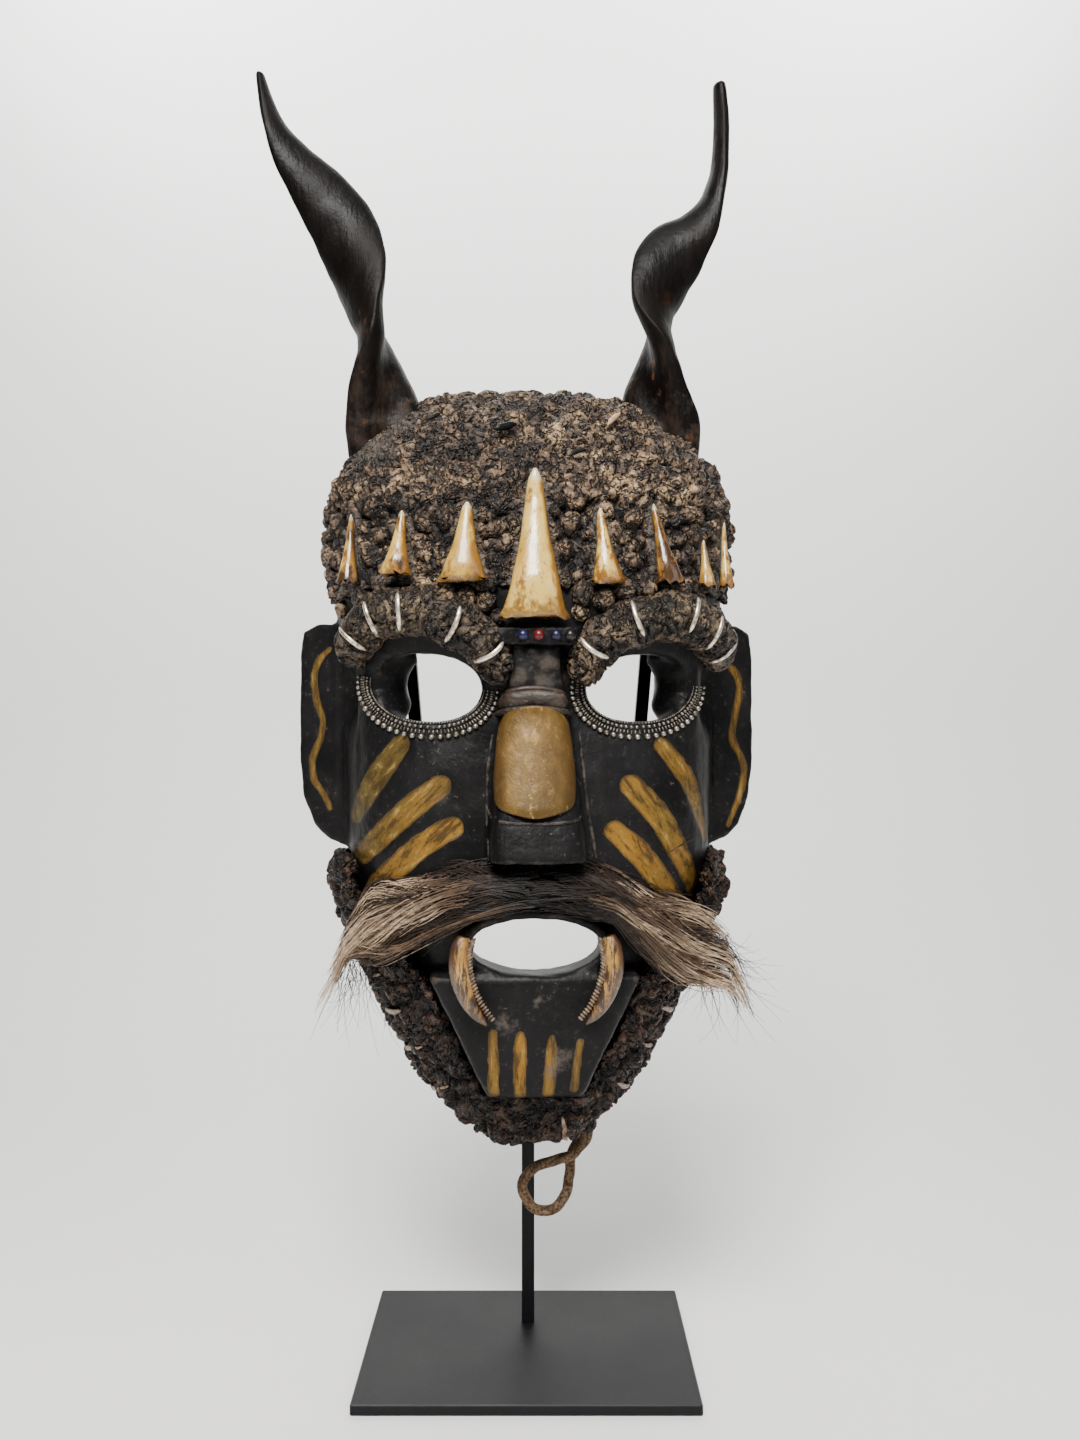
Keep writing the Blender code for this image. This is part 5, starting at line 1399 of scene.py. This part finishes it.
def make_eye_beads():
    """Rows round each lower lid: a fine wire, small beads, and larger beads outside joined to them by short links."""
    bright = silver_finish("lid_silver", 0.62)
    dull = silver_finish("lid_dull_silver", 0.38)
    rows = (
        ("inner", dull, ((0.0006, 0.00045, 70), (0.0022, 0.00080, 40))),
        ("outer", bright, ((0.0064, sizes().bead_radius, 30),)),
    )
    for side, word in ((-1, "left"), (1, "right")):
        for row, finish, strings in rows:
            bm = bmesh.new()
            for spread, radius, count in strings:
                for k, point in enumerate(lid_points(side, spread, count, radius * 0.6)):
                    size = radius * (1 + 0.14 * noise.noise(point * 900))
                    size *= min(1.0, 0.6 + 3.0 * min(k, count - 1 - k) / count)
                    add_ball(bm, 2, 1.0, Matrix.Translation(point) @ Matrix.Scale(size, 4))
            if row == "inner":
                for start, end in zip(lid_points(side, 0.0034, 60, 0.0002), lid_points(side, 0.0050, 60, 0.0004)):
                    add_link(bm, start, end, 0.00038)
            obj = piece_from(bm, f"{word}_lid_{row}", finish)
            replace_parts(obj, f"{word}_eye_beads_{row}")


def make_nose():
    """The dark strip with its beads, the leather collar and the gold plate."""
    mesh = fine_copy("nose_bead_strip", 0.0006, 8)
    points, normals = points_of(mesh), normals_of(mesh)
    out = 0.0009 * noise_at(points, 130, 11) + 0.0004 * noise_at(points, 400, 12)
    set_points(mesh, points + normals * out[:, None])
    set_values(mesh, wear=0.0)
    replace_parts(piece_of(mesh, "dark_bead_strip", wood_finish(False)), "nose_bead_strip")
    for node, slot, colour in NOSE_BEADS:
        low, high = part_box(node)
        centre, radius = (low + high) / 2, (high.z - low.z) / 2
        bm = bmesh.new()
        add_ball(bm, 4, radius, Matrix.Translation(centre - INTO_FACE * 0.0002))
        obj = piece_from(bm, f"{node}_glass", glass_finish(f"{node}_glass", colour))
        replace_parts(obj, node)
    make_collar()
    make_nose_plate()


def make_collar():
    """Worn leather rings over the bridge of the nose."""
    leather = leather_finish()
    for name, height, half, thick, tall in COLLAR_RINGS:
        shares = [k / 6 - 1 for k in range(13)]
        pairs = [(half * share + NOSE_MIDDLE, height - 0.0022 * share * share) for share in shares]
        bm = bmesh.new()
        sweep(bm, face_route(pairs, 33, 0.0004), tapered(tall, thick, 0.5, 6), 14)
        piece_from(bm, name, leather)


def make_nose_plate():
    """A thin domed plate over the nose, narrower at its arched top."""
    bm = bmesh.new()
    bmesh.ops.create_grid(bm, x_segments=32, y_segments=56, size=1.0)
    for vert in bm.verts:
        drop = (1 - vert.co.y) / 2
        share = vert.co.x
        x = share * key_value(PLATE_WIDTHS, min(max(drop, 0.0), 1.0), 1) + NOSE_MIDDLE
        arch = PLATE_ARCH * (1 - share * share)
        z = PLATE_TOP + arch * (1 - drop) - 0.6 * arch * drop - PLATE_DROP * drop
        held = max(-0.0110, min(0.0095, x))
        local = MASK_FRAME.inverted() @ on_face(held, max(0.2585, min(0.2975, z)), 0.0008)
        dome = 0.0012 + 0.0042 * math.sqrt(max(0.0, 1 - share * share))
        past = abs(x - held) / 0.006
        vert.co = MASK_FRAME @ Vector((x, local.y - dome + 0.0022 + 0.0012 * past * past, z))
    for _ in range(5):
        bmesh.ops.smooth_vert(bm, verts=bm.verts, factor=0.5, use_axis_y=True)
    tidy_normals(bm)
    if sum(face.normal.dot(-INTO_FACE) for face in bm.faces) < 0:
        bmesh.ops.reverse_faces(bm, faces=bm.faces)
    bmesh.ops.solidify(bm, geom=list(bm.faces), thickness=PLATE_THICKNESS)
    obj = piece_from(bm, "gold_nose_plate", gold_finish())
    x = to_mask(points_of(obj.data))[:, 0] - NOSE_MIDDLE
    # side: distance from the plate's middle, for its painted highlight and painted shade
    set_values(obj.data, side=np.clip(np.abs(x) / 0.0172, 0, 1))
    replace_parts(obj, "nose_plate")


def make_tusks():
    """Ivory crescents with a row of small pale beads along their inner edge."""
    finish = tusk_finish()
    pale = quill_finish("pale_quill", 1.0)
    high, low = TUSK_ROUTE[0][1], TUSK_ROUTE[-1][1]

    def shape(share, angle):
        fill = key_value(TUSK_WIDTHS, share, 1)
        return TUSK_HALF_WIDTH * fill * math.cos(angle), TUSK_HALF_DEPTH * fill * math.sin(angle)

    for side, word in ((-1, "left"), (1, "right")):
        bm = bmesh.new()
        sweep(bm, smooth_route([MASK_FRAME @ Vector((side * x, TUSK_DEPTH, z)) for x, z in TUSK_ROUTE], 50), shape, 28)
        obj = piece_from(bm, f"{word}_tusk_ivory", finish)
        points, normals = points_of(obj.data), normals_of(obj.data)
        tip = 1 - smoothstep((points[:, 2] - low) / (high - low), 0.0, 0.25)
        # side: painted shade on the faces that turn outwards
        set_values(obj.data, tip=tip, side=np.clip(normals[:, 0] * side, 0, 1))
        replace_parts(obj, f"{word}_tusk")
        bm = bmesh.new()
        line = smooth_route([MASK_FRAME @ Vector((side * x, TUSK_DEPTH - 0.0022, z)) for x, z in TUSK_ROW], 25)
        for k, point in enumerate(line):
            size = 0.00145 * (1 - 0.35 * k / 24)
            move = Matrix.Translation(point) @ Matrix.Rotation(side * 0.7, 4, "Y")
            add_ball(bm, 2, 1.0, move @ Matrix.Diagonal((size * 1.35, size, size * 0.62, 1.0)))
        piece_from(bm, f"{word}_tusk_row", pale)


def mesh_of_hairs(name, hairs, radius):
    """Turns hairs, each a list of points with their fullness, into one mesh that knows how far along them it is."""
    curve = bpy.data.curves.new(name, "CURVE")
    curve.dimensions = "3D"
    curve.bevel_depth = radius
    curve.bevel_resolution = 0
    for hair in hairs:
        spline = curve.splines.new("POLY")
        spline.points.add(len(hair) - 1)
        for point, (place, fill) in zip(spline.points, hair):
            point.co = (*place, 1.0)
            point.radius = fill
    holder = add_object(name, curve)
    mesh = bpy.data.meshes.new_from_object(holder.evaluated_get(bpy.context.evaluated_depsgraph_get()))
    bpy.data.objects.remove(holder)
    bpy.data.curves.remove(curve)
    sides = round(len(mesh.vertices) / max(1, sum(len(hair) for hair in hairs)))
    set_values(mesh, along=np.concatenate([np.repeat(np.linspace(0, 1, len(hair)), sides) for hair in hairs]))
    return mesh


def in_mouth(point):
    """Whether a point hangs in front of the mouth hole, where no hair does."""
    local = MASK_FRAME.inverted() @ point
    return abs(local.x) < 0.031 and local.z < 0.2125


def make_moustache():
    """A bundle of hairs swept out from under the nose in clumps, dark in the middle and tan towards the ends."""
    rng = random.Random(7)
    core = fine_copy("moustache", 0.0011, 8)
    points, normals = points_of(core), normals_of(core)
    lines = np.array([noise.noise(Vector((p[0] * 45, p[1] * 420, p[2] * 420))) for p in to_mask(points)])
    set_points(core, points + normals * (lines * 0.0010 - 0.0018)[:, None])
    set_values(core, along=0.0)
    finishes = {
        "dark": hair_finish("dark_hair", (0.0075, 0.0055, 0.0045), (0.045, 0.030, 0.022)),
        "brown": hair_finish("brown_hair", (0.022, 0.014, 0.010), (0.200, 0.120, 0.072)),
        "pale": hair_finish("pale_hair", (0.085, 0.053, 0.034), (0.66, 0.49, 0.33)),
    }
    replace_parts(piece_of(core, "moustache_core", finishes["dark"]), "moustache")
    hairs = {tone: [] for tone in finishes}
    tree = surface_of("moustache", "mask_body", "beard_crust")
    in_clump = 18
    for _ in range(sizes().hair_count // in_clump // (1)):
        add_clump(hairs, rng, tree, in_clump)
    for tone, finish in finishes.items():
        mesh = mesh_of_hairs(f"moustache_{tone}", hairs[tone], sizes().hair_radius)
        piece_of(mesh, f"moustache_{tone}", finish)


def add_clump(hairs, rng, tree, in_clump):
    """One clump of hairs from part way out, over the roll and past its end, gathered towards its tip."""
    side = rng.choice((-1, 1))
    start = rng.uniform(0.0, 0.070)
    reach = rng.uniform(0.022, 0.042)
    limit = MOUSTACHE_HOLD[side]
    level = rng.random()
    drift = rng.gauss(-0.05, 0.18)
    lift = rng.uniform(0.0004, 0.0034)
    outer = min(1.0, max(0.0, (start - 0.014) / 0.030))
    draw = rng.random()
    if draw < 0.66 * outer:
        tone = "pale"
        lift += 0.0008
    elif draw < 0.35 + 0.55 * outer:
        tone = "brown"
    else:
        tone = "dark"
    wave, swing = rng.uniform(0, math.tau), rng.uniform(0.0004, 0.0024)
    spread_tip = rng.uniform(0.2, 0.9)
    stations = 8
    for _ in range(in_clump):
        rise, across, nearer = rng.gauss(0, 0.0017), rng.gauss(0, 0.0016), rng.uniform(0.0, 0.0012)
        long = reach * rng.uniform(0.70, 1.15)
        begin = start + rng.uniform(-0.004, 0.004)
        stray = rng.gauss(0, 0.0018)
        hair = []
        depth = None
        for k in range(stations):
            part = k / (stations - 1)
            gather = 1 - (1 - spread_tip) * part
            away = begin + long * part
            over = max(0.0, away - limit)
            x = side * (away - 0.45 * over)
            held = side * min(max(away, 0.0), limit - 0.001)
            place = min(1.0, max(0.0, level + drift * part))
            top = key_value(MOUSTACHE_TOP, held, 1)
            base = key_value(MOUSTACHE_BASE, held, 1)
            z = base + (top - base) * place
            z += rise * gather + swing * math.sin(wave + part * 4.5) + stray * part * part - over * 1.15
            found = depth_at(tree, held, min(z, MOUSTACHE_CEILING))
            ahead = depth if found is None else found - lift - nearer
            if ahead is None:
                continue
            depth = ahead if depth is None else min(ahead, depth + 0.0030)
            fill = 0.40 + 0.80 * min(1.0, 1.5 * (1 - part))
            hair.append((MASK_FRAME @ Vector((x + across * gather * 0.3, depth, z)), fill))
        if len(hair) > 3 and not any(in_mouth(place) for place, _ in hair):
            hairs[tone].append(hair)


def make_wisps():
    """Fine loose hairs that hang past the moustache's two ends, as far as there is room for them."""
    rng = random.Random(19)
    finish = hair_finish("loose_hair", (0.012, 0.009, 0.008), (0.024, 0.018, 0.016))
    least, most = WISP_ROOM
    steps = 8
    hairs = []
    for side, x, z, count, low, high in WISPS:
        for _ in range(count):
            across = x + rng.uniform(-0.006, 0.012) * -side
            deep = -0.030 + rng.uniform(-0.008, 0.006)
            point = MASK_FRAME @ Vector((across, deep, z + rng.uniform(-0.012, 0.010)))
            heading = math.radians(rng.uniform(low, high))
            length = rng.uniform(0.010, 0.030) if rng.random() < 0.8 else rng.uniform(0.030, 0.044)
            bend = rng.gauss(0.0, 0.9)
            hair = []
            for k in range(steps + 1):
                hair.append((point.copy(), 1.0 - 0.7 * k / steps))
                turn = heading + bend * k / steps
                way = Vector((math.cos(turn), rng.uniform(-0.12, 0.12), math.sin(turn)))
                point = point + way * (length / steps)
            if all(least < place.x < most for place, _ in hair):
                hairs.append(hair)
    piece_of(mesh_of_hairs("loose_wisps", hairs, WISP_RADIUS), "loose_wisps", finish)


def make_cord():
    """Three twisted strands of fibre that follow the cord's line."""
    route = smooth_route(CORD_ROUTE, 220)
    length = route_length(route)
    ridges = length / STRAND_RUN

    def shape(share, angle):
        twist = math.tau * share * ridges / 3
        radius = CORD_RADIUS * (0.72 + 0.30 * math.sqrt(abs(math.cos(1.5 * (angle - twist)))))
        return radius * math.cos(angle), radius * math.sin(angle)

    bm = bmesh.new()
    sweep(bm, route, shape, 18, Vector((0, 1, 0)))
    obj = piece_from(bm, "fibre_cord", cord_finish())
    # How deep each point lies in a groove between strands, for the painted shade there
    set_values(obj.data, crevice=np.clip(-convexity(obj.data, 2) * 8, 0, 1))
    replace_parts(obj, "cord_loop")


def make_quills():
    """Pale quills bound round the edge of the beard."""
    finish = quill_finish("pale_quill", 1.4)
    tree = surface_of("beard_crust")
    bm = bmesh.new()
    for x, z, lean in QUILLS:
        turn = math.radians(lean)
        route = []
        for k in range(9):
            step = (k / 8 - 0.5) * QUILL_LENGTH
            across = math.cos(turn) * step * math.copysign(1, x)
            hit = front_of(tree, x + across, z - abs(math.sin(turn)) * step)
            if hit is not None:
                route.append(hit - INTO_FACE * 0.0016)
        if len(route) > 3:
            sweep(bm, smooth_route(route, 17), tapered(0.0013, 0.0009, 0.3, 4), 8)
    piece_from(bm, "beard_quills", finish)


def make_stand():
    """The stand keeps its solids and takes a satin coat."""
    finish = steel_finish()
    for node in ("base_plate", "stand_post"):
        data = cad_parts[node].data
        data.materials.clear()
        data.materials.append(finish)


def make_sweep():
    """A pale floor that curves up into a backdrop."""
    front, bend_start, bend, top, half = -1.6, 0.42, 0.34, 2.6, 2.5
    profile = [(front, 0.0), (bend_start, 0.0)]
    for k in range(1, 13):
        angle = math.radians(90 * k / 12)
        profile.append((bend_start + bend * math.sin(angle), bend * (1 - math.cos(angle))))
    profile.append((bend_start + bend, top))
    bm = bmesh.new()
    verts = [bm.verts.new((-half, y, z)) for y, z in profile]
    edges = [bm.edges.new(pair) for pair in zip(verts, verts[1:])]
    grown = bmesh.ops.extrude_edge_only(bm, edges=edges)["geom"]
    moved = [v for v in grown if isinstance(v, bmesh.types.BMVert)]
    bmesh.ops.translate(bm, verts=moved, vec=(2 * half, 0, 0))
    tidy_normals(bm)
    mesh = bpy.data.meshes.new("pale_sweep")
    bm.to_mesh(mesh)
    bm.free()
    mesh.shade_smooth()
    mesh.materials.append(floor_finish())
    add_object("pale_sweep", mesh)


def make_stage():
    """The floor, a faint light all round, soft lamps, and the camera."""
    make_sweep()
    world = bpy.data.worlds.new("soft_room")
    bpy.context.scene.world = world
    world.use_nodes = True
    room = world.node_tree.nodes["Background"].inputs
    room["Color"].default_value = (0.94, 0.97, 1.0, 1.0)
    room["Strength"].default_value = 0.07
    for name, place, target, size, power, colour in LAMPS:
        lamp = bpy.data.lights.new(name, "AREA")
        lamp.energy = power
        lamp.size = size
        lamp.color = colour
        holder = add_object(name, lamp)
        holder.location = place
        holder.rotation_euler = (Vector(target) - Vector(place)).to_track_quat("-Z", "Y").to_euler()
    camera = bpy.data.cameras.new("front_camera")
    camera.sensor_fit = "VERTICAL"
    camera.sensor_height = SENSOR_HEIGHT
    camera.lens = SENSOR_HEIGHT * FOCAL_POINTS / PICTURE_HEIGHT
    camera.shift_y = RISE_POINTS / PICTURE_HEIGHT
    camera.clip_start = 0.01
    holder = add_object("front_camera", camera)
    holder.location = CAMERA_PLACE
    holder.rotation_euler = (math.radians(90), 0.0, 0.0)
    bpy.context.scene.camera = holder


# ---------------------------------------------------------------- operators and panel


class MASK_OT_stage(bpy.types.Operator):
    """Adds the floor, the lights and the camera"""

    bl_idname = "mask.stage"
    bl_label = "Stage"

    def execute(self, context):
        make_stage()
        return {"FINISHED"}


class MASK_OT_cord(bpy.types.Operator):
    """Adds the hanging cord of twisted fibre"""

    bl_idname = "mask.cord"
    bl_label = "Cord"

    def execute(self, context):
        make_cord()
        return {"FINISHED"}


class MASK_OT_stand(bpy.types.Operator):
    """Finishes the steel stand"""

    bl_idname = "mask.stand"
    bl_label = "Stand"

    def execute(self, context):
        make_stand()
        return {"FINISHED"}


class MASK_OT_wood(bpy.types.Operator):
    """Carves and paints the wooden face"""

    bl_idname = "mask.wood"
    bl_label = "Carved face"

    def execute(self, context):
        make_wood()
        return {"FINISHED"}


class MASK_OT_horns(bpy.types.Operator):
    """Adds the two twisted horns"""

    bl_idname = "mask.horns"
    bl_label = "Horns"

    def execute(self, context):
        make_horns()
        return {"FINISHED"}


class MASK_OT_crusts(bpy.types.Operator):
    """Adds the lumpy crusts of the crown and the beard"""

    bl_idname = "mask.crusts"
    bl_label = "Crusts"

    def execute(self, context):
        make_crusts()
        return {"FINISHED"}


class MASK_OT_brows(bpy.types.Operator):
    """Adds the brows and their silver bands"""

    bl_idname = "mask.brows"
    bl_label = "Brows"

    def execute(self, context):
        make_brows()
        return {"FINISHED"}


class MASK_OT_teeth(bpy.types.Operator):
    """Adds the row of teeth over the forehead"""

    bl_idname = "mask.teeth"
    bl_label = "Teeth"

    def execute(self, context):
        make_teeth()
        return {"FINISHED"}


class MASK_OT_eye_beads(bpy.types.Operator):
    """Adds the rows of beads round the lower lids"""

    bl_idname = "mask.eye_beads"
    bl_label = "Eye beads"

    def execute(self, context):
        make_eye_beads()
        return {"FINISHED"}


class MASK_OT_nose(bpy.types.Operator):
    """Adds the nose's strip, beads, collar and plate"""

    bl_idname = "mask.nose"
    bl_label = "Nose trim"

    def execute(self, context):
        make_nose()
        return {"FINISHED"}


class MASK_OT_tusks(bpy.types.Operator):
    """Adds the tusks at the corners of the mouth"""

    bl_idname = "mask.tusks"
    bl_label = "Tusks"

    def execute(self, context):
        make_tusks()
        return {"FINISHED"}


class MASK_OT_moustache(bpy.types.Operator):
    """Adds the moustache and its loose hairs"""

    bl_idname = "mask.moustache"
    bl_label = "Moustache"

    def execute(self, context):
        make_moustache()
        make_wisps()
        return {"FINISHED"}


class MASK_OT_quills(bpy.types.Operator):
    """Adds the quills bound round the beard"""

    bl_idname = "mask.quills"
    bl_label = "Quills"

    def execute(self, context):
        make_quills()
        return {"FINISHED"}


PIECES = (
    MASK_OT_stage,
    MASK_OT_cord,
    MASK_OT_stand,
    MASK_OT_wood,
    MASK_OT_horns,
    MASK_OT_crusts,
    MASK_OT_brows,
    MASK_OT_teeth,
    MASK_OT_eye_beads,
    MASK_OT_nose,
    MASK_OT_tusks,
    MASK_OT_moustache,
    MASK_OT_quills,
)


class MASK_PT_pieces(bpy.types.Panel):
    """Lists the mask's pieces"""

    bl_label = "Dance mask"
    bl_idname = "MASK_PT_pieces"
    bl_space_type = "VIEW_3D"
    bl_region_type = "UI"
    bl_category = "Dance mask"

    def draw(self, context):
        column = self.layout.column()
        for piece in PIECES:
            column.operator(piece.bl_idname)
        for group in (context.scene.mask_sizes, context.scene.mask_colours):
            for name in group.bl_rna.properties.keys():
                if name not in ("rna_type", "name"):
                    column.prop(group, name)


CLASSES = (MaskSizes, MaskColours, *PIECES, MASK_PT_pieces)


def register():
    for cls in CLASSES:
        bpy.utils.register_class(cls)
    bpy.types.Scene.mask_sizes = bpy.props.PointerProperty(type=MaskSizes)
    bpy.types.Scene.mask_colours = bpy.props.PointerProperty(type=MaskColours)


def unregister():
    del bpy.types.Scene.mask_colours
    del bpy.types.Scene.mask_sizes
    for cls in reversed(CLASSES):
        bpy.utils.unregister_class(cls)


def main():
    register()
    for piece in PIECES:
        group, name = piece.bl_idname.split(".")
        getattr(getattr(bpy.ops, group), name)()


if __name__ == "__main__":
    main()
